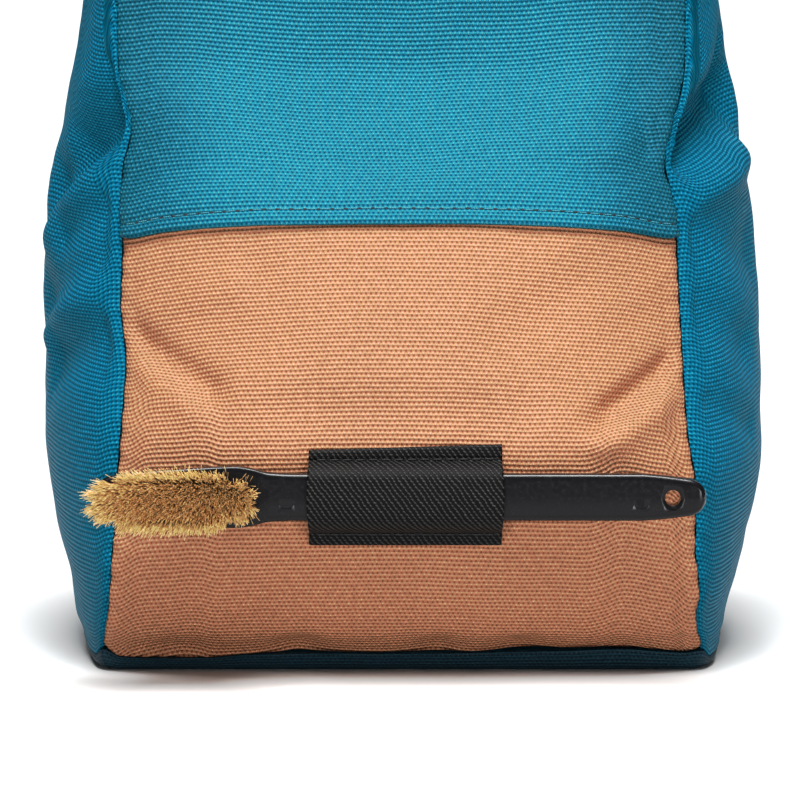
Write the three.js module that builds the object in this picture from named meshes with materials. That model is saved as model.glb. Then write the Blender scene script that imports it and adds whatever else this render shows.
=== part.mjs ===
// Climbing chalk bag with a brush held across its front by an elastic sleeve.
// Millimetres, +Z up, the front looks along -Y, the origin is under the middle of the base.
import * as THREE from "three";
import { mergeVertices } from "three/addons/utils/BufferGeometryUtils.js";

// Bag
const BAG_HEIGHT = 200;
const BAG_WIDTH = 164;
const BAG_DEPTH = 140;
const FRONT_CROWN = 15;
const BACK_CROWN = 12;
const SIDE_BULGE = 26;
const CLOTH_WALL = 1.6;
const SEAM_GAP = 0.3;
const MOUTH_HEM_HEIGHT = 18;
const MOUTH_HEM_WALL = 2.8;

// Base panel
const BASE_RISE = 5.2;
const BASE_FLOOR = 2.2;
const BASE_EDGE_INSET = 4.6;

// Lap of the upper front panel over the lower one
const HEM_HEIGHT = 123;
const HEM_LAP = 6;
const HEM_FADE = 12;

// Brush
const BRUSH_LENGTH = 165;
const BRUSH_WIDTH = 12.6;
const BRUSH_HEAD_WIDTH = 16.6;
const BRUSH_THICKNESS = 6;
const BRUSH_EDGE = 0.9;
const BRUSH_CENTRE_HEIGHT = 51.9;
const BRUSH_CENTRE_ACROSS = -0.4;
const HANG_HOLE_DIAMETER = 4.3;
const HANG_HOLE_FROM_TIP = 9;
const BRISTLE_FIELD_LENGTH = 46.5;
const BRISTLE_FIELD_WIDTH = 17;
const BRISTLE_LENGTH = 12;
const BRISTLE_FIELD_FROM_END = -2;
const BRUSH_CLEARANCE = 0.4;

// Elastic sleeve
const SLEEVE_WIDTH = 51.3;
const SLEEVE_CENTRE_ACROSS = 1.2;
const SLEEVE_HEM = 3;
const SLEEVE_REACH = 4.2;
const SLEEVE_WALL = 1.2;
const SLEEVE_HEM_WALL = 2.2;
const SLEEVE_SLANT = 1.6;

const TEAL = new THREE.Color(0.2, 0.58, 0.68);
const TEAL_SIDE = new THREE.Color(0.14, 0.46, 0.56);
const COPPER = new THREE.Color(0.82, 0.56, 0.4);
const DARK_TEAL = new THREE.Color(0.05, 0.2, 0.26);
const BLACK_ELASTIC = new THREE.Color(0.12, 0.12, 0.13);
const BLACK_PLASTIC = new THREE.Color(0.08, 0.08, 0.09);
const BOAR_TAN = new THREE.Color(0.6, 0.44, 0.3);

// Front seams: height is a share of BAG_HEIGHT, left and right are shares of half BAG_WIDTH.
const FRONT_SEAMS = [
  { height: 0.02, left: 1.004, right: 1.016 },
  { height: 0.045, left: 0.998, right: 1.008 },
  { height: 0.06, left: 0.993, right: 0.994 },
  { height: 0.08, left: 0.984, right: 0.99 },
  { height: 0.11, left: 0.976, right: 0.998 },
  { height: 0.14, left: 0.97, right: 0.993 },
  { height: 0.175, left: 0.964, right: 0.982 },
  { height: 0.21, left: 0.953, right: 0.983 },
  { height: 0.27, left: 0.946, right: 0.98 },
  { height: 0.335, left: 0.935, right: 0.957 },
  { height: 0.38, left: 0.928, right: 0.951 },
  { height: 0.43, left: 0.923, right: 0.947 },
  { height: 0.46, left: 0.932, right: 0.945 },
  { height: 0.51, left: 0.947, right: 0.941 },
  { height: 0.59, left: 0.943, right: 0.935 },
  { height: 0.66, left: 0.951, right: 0.917 },
  { height: 0.695, left: 0.946, right: 0.901 },
  { height: 0.72, left: 0.932, right: 0.915 },
  { height: 0.742, left: 0.921, right: 0.927 },
  { height: 0.77, left: 0.933, right: 0.944 },
  { height: 0.83, left: 0.969, right: 0.973 },
  { height: 0.9, left: 0.976, right: 0.978 },
  { height: 1, left: 0.966, right: 0.966 },
];

// Back seams, plain: the photograph hides them.
const BACK_SEAMS = [
  { height: 0.02, half: 1.01 },
  { height: 0.2, half: 0.97 },
  { height: 0.45, half: 0.945 },
  { height: 0.7, half: 0.945 },
  { height: 1, half: 0.966 },
];

// Depth: front and back are shares of half BAG_DEPTH, the crowns and the bulge of their sizes.
const PROFILE = [
  { height: 0.026, front: 1, frontCrown: 0.05, back: 1, backCrown: 0.05, bulge: 0.34 },
  { height: 0.06, front: 1.057, frontCrown: 0.2, back: 1.05, backCrown: 0.2, bulge: 0.46 },
  { height: 0.11, front: 1.107, frontCrown: 0.36, back: 1.09, backCrown: 0.38, bulge: 0.57 },
  { height: 0.17, front: 1.136, frontCrown: 0.5, back: 1.11, backCrown: 0.55, bulge: 0.74 },
  { height: 0.25, front: 1.143, frontCrown: 0.7, back: 1.11, backCrown: 0.75, bulge: 0.9 },
  { height: 0.32, front: 1.129, frontCrown: 0.87, back: 1.09, backCrown: 0.88, bulge: 0.97 },
  { height: 0.395, front: 1.064, frontCrown: 0.965, back: 1.03, backCrown: 0.96, bulge: 1 },
  { height: 0.47, front: 0.971, frontCrown: 1, back: 0.95, backCrown: 1, bulge: 1 },
  { height: 0.545, front: 0.871, frontCrown: 0.965, back: 0.865, backCrown: 0.97, bulge: 0.98 },
  { height: 0.62, front: 0.767, frontCrown: 0.93, back: 0.775, backCrown: 0.9, bulge: 0.95 },
  { height: 0.67, front: 0.693, frontCrown: 0.86, back: 0.71, backCrown: 0.82, bulge: 0.91 },
  { height: 0.72, front: 0.619, frontCrown: 0.7, back: 0.645, backCrown: 0.72, bulge: 0.84 },
  { height: 0.77, front: 0.543, frontCrown: 0.46, back: 0.58, backCrown: 0.6, bulge: 0.76 },
  { height: 0.84, front: 0.45, frontCrown: 0.23, back: 0.5, backCrown: 0.5, bulge: 0.57 },
  { height: 0.92, front: 0.386, frontCrown: 0.23, back: 0.44, backCrown: 0.45, bulge: 0.46 },
  { height: 1, front: 0.364, frontCrown: 0.3, back: 0.42, backCrown: 0.45, bulge: 0.4 },
];

// Seam of the base along the front, as shares of BASE_RISE.
const BASE_SEAM = [
  { across: 0, rise: 1.25 },
  { across: 0.03, rise: 0.8 },
  { across: 0.07, rise: 0.73 },
  { across: 0.18, rise: 0.76 },
  { across: 0.24, rise: 0.92 },
  { across: 0.33, rise: 1 },
  { across: 0.5, rise: 1 },
  { across: 0.77, rise: 1.17 },
  { across: 0.875, rise: 1.24 },
  { across: 0.97, rise: 1.03 },
  { across: 1, rise: 1.13 },
];
const BASE_SEAM_BACK = 1.1;

// Hem of the upper front panel, as shares of HEM_HEIGHT.
const HEM_LINE = [
  { across: 0, level: 0.96 },
  { across: 0.085, level: 0.979 },
  { across: 0.17, level: 0.991 },
  { across: 0.28, level: 0.997 },
  { across: 0.5, level: 0.999 },
  { across: 0.61, level: 1 },
  { across: 0.77, level: 0.994 },
  { across: 0.885, level: 0.983 },
  { across: 1, level: 0.96 },
];

// Folds of the front: ends in shares across and up, reach a share of BAG_WIDTH, push of FRONT_CROWN.
const FRONT_FOLDS = [
  { across: 0.02, up: 0.455, toAcross: 0.15, toUp: 0.395, reach: 0.022, push: -0.12 },
  { across: 0.05, up: 0.5, toAcross: 0.2, toUp: 0.535, reach: 0.034, push: 0.1 },
  { across: 0.08, up: 0.6, toAcross: 0.22, toUp: 0.575, reach: 0.05, push: -0.08 },
  { across: 0.97, up: 0.42, toAcross: 0.84, toUp: 0.35, reach: 0.024, push: -0.14 },
  { across: 0.96, up: 0.36, toAcross: 0.88, toUp: 0.33, reach: 0.03, push: 0.12 },
  { across: 0.94, up: 0.6, toAcross: 0.68, toUp: 0.47, reach: 0.06, push: -0.1 },
  { across: 0.93, up: 0.52, toAcross: 0.84, toUp: 0.5, reach: 0.05, push: 0.09 },
  { across: 0.99, up: 0.71, toAcross: 0.9, toUp: 0.77, reach: 0.04, push: -0.1 },
  { across: 0.98, up: 0.665, toAcross: 0.9, toUp: 0.71, reach: 0.035, push: 0.1 },
  { across: 0.35, up: 0.82, toAcross: 0.65, toUp: 0.82, reach: 0.12, push: -0.16 },
];

// Folds of the side panels: out is a share of the depth from the front seam, push of SIDE_BULGE.
const LEFT_FOLDS = [
  { across: 0.02, up: 0.75, toAcross: 0.34, toUp: 0.66, reach: 0.05, push: -0.24 },
  { across: 0.02, up: 0.69, toAcross: 0.3, toUp: 0.59, reach: 0.035, push: 0.08 },
  { across: 0.03, up: 0.475, toAcross: 0.24, toUp: 0.44, reach: 0.035, push: -0.1 },
  { across: 0.65, up: 0.72, toAcross: 0.98, toUp: 0.76, reach: 0.06, push: -0.14 },
];
const RIGHT_FOLDS = [
  { across: 0.02, up: 0.71, toAcross: 0.36, toUp: 0.79, reach: 0.05, push: -0.24 },
  { across: 0.02, up: 0.655, toAcross: 0.32, toUp: 0.7, reach: 0.035, push: 0.09 },
  { across: 0.03, up: 0.37, toAcross: 0.2, toUp: 0.33, reach: 0.03, push: -0.06 },
  { across: 0.62, up: 0.76, toAcross: 0.98, toUp: 0.72, reach: 0.06, push: -0.14 },
];

// Outline of the brush: along is a share of BRUSH_LENGTH from the bristle end,
// blade is a share of half BRUSH_WIDTH and head of the extra half width of the head.
const BRUSH_OUTLINE = [
  { along: 0, blade: 0.3, head: 0 },
  { along: 0.008, blade: 0.62, head: 0 },
  { along: 0.025, blade: 0.86, head: 0.1 },
  { along: 0.055, blade: 0.98, head: 0.2 },
  { along: 0.1, blade: 1, head: 0.42 },
  { along: 0.17, blade: 1, head: 0.8 },
  { along: 0.233, blade: 1, head: 1 },
  { along: 0.26, blade: 1, head: 0.7 },
  { along: 0.287, blade: 1, head: 0.16 },
  { along: 0.33, blade: 1, head: 0 },
  { along: 0.6, blade: 1, head: 0 },
  { along: 0.892, blade: 1, head: 0 },
  { along: 0.93, blade: 0.93, head: 0 },
  { along: 0.962, blade: 0.83, head: 0 },
  { along: 0.976, blade: 0.78, head: 0 },
  { along: 0.986, blade: 0.68, head: 0 },
  { along: 0.994, blade: 0.5, head: 0 },
  { along: 1, blade: 0.24, head: 0 },
];

// The sleeve's run over the handle: from one hem line (0) to the handle's edge (1).
const SLEEVE_SLOPE = [
  { run: 0, rise: 0 },
  { run: 0.14, rise: 0.08 },
  { run: 0.4, rise: 0.5 },
  { run: 0.66, rise: 0.86 },
  { run: 0.88, rise: 0.98 },
  { run: 1, rise: 1 },
];

const CROWN_POWER = 5.5;
const BULGE_POWER = 2.4;
const BULGE_ROUNDNESS = 0.74;

// Smooth curve through one column of a table, with no overshoot.
function readTable(rows, keyColumn, valueColumn, key) {
  const last = rows.length - 1;
  if (key <= rows[0][keyColumn]) {
    return rows[0][valueColumn];
  }
  if (key >= rows[last][keyColumn]) {
    return rows[last][valueColumn];
  }
  let row = 0;
  while (key > rows[row + 1][keyColumn]) {
    row += 1;
  }
  const slopeAt = (index) => {
    if (index === 0 || index === last) {
      return 0;
    }
    const before = rows[index][keyColumn] - rows[index - 1][keyColumn];
    const after = rows[index + 1][keyColumn] - rows[index][keyColumn];
    const fall = (rows[index][valueColumn] - rows[index - 1][valueColumn]) / before;
    const rise = (rows[index + 1][valueColumn] - rows[index][valueColumn]) / after;
    if (fall * rise <= 0) {
      return 0;
    }
    return (2 * fall * rise) / (fall + rise);
  };
  const span = rows[row + 1][keyColumn] - rows[row][keyColumn];
  const part = (key - rows[row][keyColumn]) / span;
  const squared = part * part;
  const cubed = squared * part;
  return (
    rows[row][valueColumn] * (2 * cubed - 3 * squared + 1) +
    rows[row + 1][valueColumn] * (3 * squared - 2 * cubed) +
    slopeAt(row) * span * (cubed - 2 * squared + part) +
    slopeAt(row + 1) * span * (cubed - squared)
  );
}

function mix(from, to, share) {
  return from + (to - from) * share;
}

function smoothStep(from, to, value) {
  const share = Math.min(Math.max((value - from) / (to - from), 0), 1);
  return share * share * (3 - 2 * share);
}

// How far a table of folds pushes the cloth at one place, fading out at the seams.
function foldPush(folds, across, height) {
  const up = height / BAG_HEIGHT;
  let push = 0;
  for (const fold of folds) {
    const runAcross = (fold.toAcross - fold.across) * BAG_WIDTH;
    const runUp = (fold.toUp - fold.up) * BAG_HEIGHT;
    const offAcross = (across - fold.across) * BAG_WIDTH;
    const offUp = (up - fold.up) * BAG_HEIGHT;
    const along = (offAcross * runAcross + offUp * runUp) / (runAcross ** 2 + runUp ** 2);
    const near = Math.min(Math.max(along, 0), 1);
    const distance = Math.hypot(offAcross - runAcross * near, offUp - runUp * near);
    push += fold.push * Math.exp(-((distance / (fold.reach * BAG_WIDTH)) ** 2));
  }
  const seamFade = smoothStep(0, 0.05, across) * smoothStep(0, 0.05, 1 - across);
  return push * seamFade * smoothStep(BASE_RISE, 4 * BASE_RISE, height);
}

function halfDepth(column, height) {
  return (readTable(PROFILE, "height", column, height / BAG_HEIGHT) * BAG_DEPTH) / 2;
}

function frontSeamAcross(side, height) {
  const column = side < 0 ? "left" : "right";
  return (side * readTable(FRONT_SEAMS, "height", column, height / BAG_HEIGHT) * BAG_WIDTH) / 2;
}

function backSeamAcross(side, height) {
  return (side * readTable(BACK_SEAMS, "height", "half", height / BAG_HEIGHT) * BAG_WIDTH) / 2;
}

function crownShape(across) {
  return 1 - Math.abs(2 * across - 1) ** CROWN_POWER;
}

// Outer face of the front, across from the left seam (0) to the right one (1).
function frontPoint(across, height) {
  const left = frontSeamAcross(-1, height) + SEAM_GAP / 2;
  const right = frontSeamAcross(1, height) - SEAM_GAP / 2;
  const crown = readTable(PROFILE, "height", "frontCrown", height / BAG_HEIGHT);
  const push = crown * crownShape(across) + foldPush(FRONT_FOLDS, across, height);
  const forward = halfDepth("front", height) + push * FRONT_CROWN;
  return new THREE.Vector3(mix(left, right, across), -forward, height);
}

// Outer face of the back, across from the right seam (0) to the left one (1).
function backPoint(across, height) {
  const right = backSeamAcross(1, height) - SEAM_GAP / 2;
  const left = backSeamAcross(-1, height) + SEAM_GAP / 2;
  const crown = readTable(PROFILE, "height", "backCrown", height / BAG_HEIGHT);
  const backward = halfDepth("back", height) + crown * crownShape(across) * BACK_CROWN;
  return new THREE.Vector3(mix(right, left, across), backward, height);
}

// Outer face of a side, away from its front seam (0) to its back seam (1).
function sidePoint(side, away, height) {
  const folds = side < 0 ? LEFT_FOLDS : RIGHT_FOLDS;
  const front = frontSeamAcross(side, height) + (side * SEAM_GAP) / 2;
  const back = backSeamAcross(side, height) + (side * SEAM_GAP) / 2;
  const bulge = readTable(PROFILE, "height", "bulge", height / BAG_HEIGHT);
  const round = (1 - Math.abs(2 * away - 1) ** BULGE_POWER) ** BULGE_ROUNDNESS;
  const out = (bulge * round + foldPush(folds, away, height)) * SIDE_BULGE;
  const depth = mix(-halfDepth("front", height), halfDepth("back", height), away);
  return new THREE.Vector3(mix(front, back, away) + side * out, depth, height);
}

function frontBaseSeam(across) {
  return readTable(BASE_SEAM, "across", "rise", across) * BASE_RISE;
}

function sideBaseSeam(side, away) {
  return mix(frontBaseSeam(side < 0 ? 0 : 1), BASE_SEAM_BACK * BASE_RISE, smoothStep(0, 0.3, away));
}

function hemHeight(across) {
  return readTable(HEM_LINE, "across", "level", across) * HEM_HEIGHT;
}

// Wall of the cloth at a height: the mouth hem is folded double on the inside.
function wallAt(height) {
  const hemStart = BAG_HEIGHT - MOUTH_HEM_HEIGHT;
  return mix(CLOTH_WALL, MOUTH_HEM_WALL, smoothStep(hemStart - CLOTH_WALL, hemStart, height));
}

// Direction square to a surface given as a function of two shares.
function squareTo(surface, first, second) {
  const step = 0.002;
  const firstLow = Math.max(first - step, 0);
  const firstHigh = Math.min(first + step, 1);
  const secondLow = Math.max(second - step, 0);
  const secondHigh = Math.min(second + step, 1);
  const alongFirst = surface(firstHigh, second).sub(surface(firstLow, second));
  const alongSecond = surface(first, secondHigh).sub(surface(first, secondLow));
  return alongFirst.cross(alongSecond).normalize();
}

// Outward direction of one face of the bag at a share along it and a height.
function faceSquare(face, share, height) {
  const outward = squareTo((first, second) => face.pointAt(first, second * BAG_HEIGHT),
    share, height / BAG_HEIGHT);
  return outward.multiplyScalar(face.turn);
}

const FRONT_FACE = { pointAt: frontPoint, turn: 1 };
const BACK_FACE = { pointAt: backPoint, turn: 1 };
const LEFT_FACE = { pointAt: (away, height) => sidePoint(-1, away, height), turn: -1 };
const RIGHT_FACE = { pointAt: (away, height) => sidePoint(1, away, height), turn: 1 };

// Which face meets each end of each face, and where along it the seam is.
const NEIGHBOURS = new Map([
  [FRONT_FACE, [{ face: LEFT_FACE, share: 0 }, { face: RIGHT_FACE, share: 0 }]],
  [BACK_FACE, [{ face: RIGHT_FACE, share: 1 }, { face: LEFT_FACE, share: 1 }]],
  [LEFT_FACE, [{ face: FRONT_FACE, share: 0 }, { face: BACK_FACE, share: 1 }]],
  [RIGHT_FACE, [{ face: FRONT_FACE, share: 1 }, { face: BACK_FACE, share: 0 }]],
]);

// Step square into the cloth from its outer face, mitred along the seams.
function stepInward(face, share, height, distance) {
  const own = faceSquare(face, share, height);
  if (share > 0 && share < 1) {
    return own.multiplyScalar(-distance);
  }
  const neighbour = NEIGHBOURS.get(face)[share];
  const other = faceSquare(neighbour.face, neighbour.share, height);
  const between = own.clone().add(other).normalize();
  return between.multiplyScalar(-distance / Math.max(between.dot(own), 0.6));
}

// Shares from 0 to 1, closer together at both ends.
function gatheredShares(count, gather) {
  return Array.from({ length: count + 1 }, (_, index) => {
    const even = index / count;
    return mix(even, 0.5 - 0.5 * Math.cos(Math.PI * even), gather);
  });
}

// Closed solid between an outer surface and the same surface stepped inwards.
function sheetSolid(outerAt, inwardAt, firstShares, secondShares) {
  const columns = firstShares.length;
  const rows = secondShares.length;
  const positions = [];
  for (const inside of [false, true]) {
    for (const second of secondShares) {
      for (const first of firstShares) {
        const point = outerAt(first, second);
        if (inside) {
          point.add(inwardAt(first, second));
        }
        positions.push(point.x, point.y, point.z);
      }
    }
  }
  const inner = columns * rows;
  const indices = [];
  const addQuad = (a, b, c, d) => indices.push(a, b, c, a, c, d);
  for (let row = 0; row < rows - 1; row += 1) {
    for (let column = 0; column < columns - 1; column += 1) {
      const corner = row * columns + column;
      addQuad(corner, corner + 1, corner + columns + 1, corner + columns);
      const hidden = corner + inner;
      addQuad(hidden, hidden + columns, hidden + columns + 1, hidden + 1);
    }
  }
  for (let column = 0; column < columns - 1; column += 1) {
    const top = (rows - 1) * columns + column;
    addQuad(column, column + inner, column + 1 + inner, column + 1);
    addQuad(top, top + 1, top + 1 + inner, top + inner);
  }
  for (let row = 0; row < rows - 1; row += 1) {
    const start = row * columns;
    const end = start + columns - 1;
    addQuad(start, start + columns, start + columns + inner, start + inner);
    addQuad(end, end + inner, end + columns + inner, end + columns);
  }
  const geometry = new THREE.BufferGeometry();
  geometry.setAttribute("position", new THREE.Float32BufferAttribute(positions, 3));
  geometry.setIndex(indices);
  return geometry;
}

function makePiece(name, geometry, colour, roughness) {
  geometry.computeVertexNormals();
  const material = new THREE.MeshStandardMaterial({ color: colour, roughness });
  const mesh = new THREE.Mesh(geometry, material);
  mesh.name = name;
  return mesh;
}

// How far the upper front panel stands off where it laps over the lower one.
function lapOffset(across, height) {
  const above = height - hemHeight(across);
  return (CLOTH_WALL + SEAM_GAP) * (1 - smoothStep(HEM_LAP, HEM_LAP + HEM_FADE, above));
}

function frontUpperPanel() {
  const heightAt = (across, share) => mix(hemHeight(across), BAG_HEIGHT, share);
  const outerAt = (across, share) => {
    const height = heightAt(across, share);
    const standOff = stepInward(FRONT_FACE, across, height, -lapOffset(across, height));
    return frontPoint(across, height).add(standOff);
  };
  const inwardAt = (across, share) => {
    const height = heightAt(across, share);
    return stepInward(FRONT_FACE, across, height, wallAt(height));
  };
  return sheetSolid(outerAt, inwardAt, gatheredShares(22, 0.6), gatheredShares(14, 0.25));
}

function frontLowerPanel() {
  const heightAt = (across, share) => {
    return mix(frontBaseSeam(across) + SEAM_GAP, hemHeight(across) + HEM_LAP, share);
  };
  const outerAt = (across, share) => frontPoint(across, heightAt(across, share));
  const inwardAt = (across, share) => {
    return stepInward(FRONT_FACE, across, heightAt(across, share), CLOTH_WALL);
  };
  return sheetSolid(outerAt, inwardAt, gatheredShares(24, 0.6), gatheredShares(18, 0.2));
}

function sidePanel(side) {
  const face = side < 0 ? LEFT_FACE : RIGHT_FACE;
  const awayAt = (share) => (side < 0 ? 1 - share : share);
  const heightAt = (away, up) => mix(sideBaseSeam(side, away) + SEAM_GAP, BAG_HEIGHT, up);
  const outerAt = (share, up) => {
    const away = awayAt(share);
    return sidePoint(side, away, heightAt(away, up));
  };
  const inwardAt = (share, up) => {
    const away = awayAt(share);
    const height = heightAt(away, up);
    return stepInward(face, away, height, wallAt(height));
  };
  return sheetSolid(outerAt, inwardAt, gatheredShares(16, 1), gatheredShares(24, 0.15));
}

function backPanel() {
  const heightAt = (up) => mix(BASE_SEAM_BACK * BASE_RISE + SEAM_GAP, BAG_HEIGHT, up);
  const outerAt = (across, up) => backPoint(across, heightAt(up));
  const inwardAt = (across, up) => {
    return stepInward(BACK_FACE, across, heightAt(up), wallAt(heightAt(up)));
  };
  return sheetSolid(outerAt, inwardAt, gatheredShares(16, 0.6), gatheredShares(20, 0.15));
}

// Outline of the base seam, once round from the front left corner.
function baseOutline() {
  const outline = [];
  const addPoint = (point, seam) => outline.push({ x: point.x, y: point.y, seam });
  const frontShares = gatheredShares(16, 0.6);
  const sideShares = gatheredShares(12, 0.8);
  for (const across of frontShares.slice(0, -1)) {
    const seam = frontBaseSeam(across);
    addPoint(frontPoint(across, seam), seam);
  }
  for (const away of sideShares.slice(0, -1)) {
    const seam = sideBaseSeam(1, away);
    addPoint(sidePoint(1, away, seam), seam);
  }
  for (const across of frontShares.slice(0, -1)) {
    const seam = BASE_SEAM_BACK * BASE_RISE;
    addPoint(backPoint(across, seam), seam);
  }
  for (const away of sideShares.slice(0, -1)) {
    const seam = sideBaseSeam(-1, 1 - away);
    addPoint(sidePoint(-1, 1 - away, seam), seam);
  }
  return outline;
}

// Shallow tray: flat underneath, rounded up to the seam, with a thin floor.
function basePanel() {
  const outline = baseOutline();
  const count = outline.length;
  const innerInset = BASE_EDGE_INSET + CLOTH_WALL;
  const rings = [
    { inset: BASE_EDGE_INSET, level: () => 0 },
    { inset: BASE_EDGE_INSET * 0.52, level: (seam) => seam * 0.1 },
    { inset: BASE_EDGE_INSET * 0.18, level: (seam) => seam * 0.36 },
    { inset: 0, level: (seam) => seam },
    { inset: CLOTH_WALL, level: (seam) => seam },
    { inset: innerInset, level: () => BASE_FLOOR },
  ];
  const positions = [];
  for (const ring of rings) {
    outline.forEach((point, index) => {
      const before = outline[(index + count - 1) % count];
      const after = outline[(index + 1) % count];
      const run = new THREE.Vector2(after.x - before.x, after.y - before.y).normalize();
      const x = point.x - run.y * ring.inset;
      const y = point.y + run.x * ring.inset;
      positions.push(x, y, ring.level(point.seam));
    });
  }
  const underCentre = positions.length / 3;
  positions.push(0, 0, 0);
  const floorCentre = underCentre + 1;
  positions.push(0, 0, BASE_FLOOR);
  const indices = [];
  for (let index = 0; index < count; index += 1) {
    const next = (index + 1) % count;
    indices.push(underCentre, next, index);
    for (let ring = 0; ring < rings.length - 1; ring += 1) {
      const low = ring * count;
      const high = low + count;
      indices.push(low + index, low + next, high + next, low + index, high + next, high + index);
    }
    const floor = (rings.length - 1) * count;
    indices.push(floorCentre, floor + index, floor + next);
  }
  const geometry = new THREE.BufferGeometry();
  geometry.setAttribute("position", new THREE.Float32BufferAttribute(positions, 3));
  geometry.setIndex(indices);
  return geometry;
}

// The most forward place of the front under the brush, which the handle then clears.
function forwardUnderBrush() {
  let forward = 0;
  for (let across = 0.02; across < 1; across += 0.04) {
    for (let part = -1; part <= 1; part += 0.25) {
      const height = BRUSH_CENTRE_HEIGHT + (part * BRUSH_HEAD_WIDTH) / 2;
      forward = Math.max(forward, -frontPoint(across, height).y);
    }
  }
  return forward;
}

const BRUSH_BACK = -(forwardUnderBrush() + BRUSH_CLEARANCE);
const BRUSH_FRONT = BRUSH_BACK - BRUSH_THICKNESS;
const BRUSH_START = BRUSH_CENTRE_ACROSS - BRUSH_LENGTH / 2;

function brushHalfWidth(along) {
  const extra = (BRUSH_HEAD_WIDTH - BRUSH_WIDTH) / 2;
  const blade = readTable(BRUSH_OUTLINE, "along", "blade", along);
  const head = readTable(BRUSH_OUTLINE, "along", "head", along);
  return (blade * BRUSH_WIDTH) / 2 + head * extra;
}

function brushHandle() {
  const shares = [...BRUSH_OUTLINE.map((row) => row.along), 0.01, 0.14, 0.2, 0.245, 0.31, 0.91];
  shares.sort((first, second) => first - second);
  const lower = shares.map((along) => {
    const half = brushHalfWidth(along) - BRUSH_EDGE;
    const inner = mix(BRUSH_EDGE, BRUSH_LENGTH - BRUSH_EDGE, along);
    return new THREE.Vector2(BRUSH_START + inner, -Math.max(half, BRUSH_EDGE / 3));
  });
  const upper = lower.map((point) => new THREE.Vector2(point.x, -point.y)).reverse();
  const shape = new THREE.Shape([...lower, ...upper]);
  const hole = new THREE.Path();
  const holeAcross = BRUSH_START + BRUSH_LENGTH - HANG_HOLE_FROM_TIP;
  hole.absarc(holeAcross, 0, HANG_HOLE_DIAMETER / 2 + BRUSH_EDGE, 0, 2 * Math.PI, true);
  shape.holes.push(hole);
  const extruded = new THREE.ExtrudeGeometry(shape, {
    depth: BRUSH_THICKNESS - 2 * BRUSH_EDGE,
    bevelEnabled: true,
    bevelThickness: BRUSH_EDGE,
    bevelSize: BRUSH_EDGE,
    bevelSegments: 2,
    curveSegments: 9,
  });
  extruded.rotateX(Math.PI / 2);
  extruded.translate(0, BRUSH_BACK - BRUSH_EDGE, BRUSH_CENTRE_HEIGHT);
  extruded.deleteAttribute("normal");
  extruded.deleteAttribute("uv");
  return mergeVertices(extruded, 0.0001);
}

// One block of bristles whose tips rise and fall tuft by tuft, flared towards the tips.
function brushBristles() {
  const tuftsLong = 12;
  const tuftsWide = 4;
  const columns = tuftsLong * 2 + 1;
  const rows = tuftsWide * 2 + 1;
  const start = BRUSH_START + BRISTLE_FIELD_FROM_END;
  const rootInset = (BRISTLE_FIELD_WIDTH - BRUSH_WIDTH) / 2 + BRUSH_EDGE;
  const rootStart = BRUSH_START + 2 * BRUSH_EDGE;
  const rootEnd = start + BRISTLE_FIELD_LENGTH - rootInset;
  const rootHalf = BRISTLE_FIELD_WIDTH / 2 - rootInset;
  const positions = [];
  for (const tip of [false, true]) {
    for (let row = 0; row < rows; row += 1) {
      for (let column = 0; column < columns; column += 1) {
        const alongShare = column / (columns - 1);
        const wideShare = (2 * row) / (rows - 1) - 1;
        const corner = Math.sqrt(1 - 0.28 * (wideShare * (2 * alongShare - 1)) ** 2);
        const ragged = 0.035 * Math.sin(column * 2.3 + row * 1.7) * corner;
        const valley = column % 2 === 0 || row % 2 === 0 ? 0.13 : 0;
        const tipMiddle = start + BRISTLE_FIELD_LENGTH / 2;
        const rootMiddle = (rootStart + rootEnd) / 2;
        const halfLong = tip ? BRISTLE_FIELD_LENGTH / 2 : (rootEnd - rootStart) / 2;
        const halfWide = tip ? BRISTLE_FIELD_WIDTH / 2 : rootHalf;
        const middle = tip ? tipMiddle : rootMiddle;
        const x = middle + (2 * alongShare - 1) * halfLong * corner;
        const z = BRUSH_CENTRE_HEIGHT + wideShare * halfWide * corner;
        const reach = tip ? BRISTLE_LENGTH * (1 - valley - 0.035 + ragged) : SEAM_GAP;
        positions.push(x, BRUSH_FRONT - reach, z);
      }
    }
  }
  const tips = columns * rows;
  const indices = [];
  const addQuad = (a, b, c, d) => indices.push(a, b, c, a, c, d);
  for (let row = 0; row < rows - 1; row += 1) {
    for (let column = 0; column < columns - 1; column += 1) {
      const root = row * columns + column;
      addQuad(root, root + columns, root + columns + 1, root + 1);
      const end = root + tips;
      addQuad(end, end + 1, end + columns + 1, end + columns);
    }
  }
  for (let column = 0; column < columns - 1; column += 1) {
    const top = (rows - 1) * columns + column;
    addQuad(column, column + 1, column + 1 + tips, column + tips);
    addQuad(top, top + tips, top + 1 + tips, top + 1);
  }
  for (let row = 0; row < rows - 1; row += 1) {
    const first = row * columns;
    const last = first + columns - 1;
    addQuad(first, first + tips, first + columns + tips, first + columns);
    addQuad(last, last + columns, last + columns + tips, last + tips);
  }
  const geometry = new THREE.BufferGeometry();
  geometry.setAttribute("position", new THREE.Float32BufferAttribute(positions, 3));
  geometry.setIndex(indices);
  return geometry;
}

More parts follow.
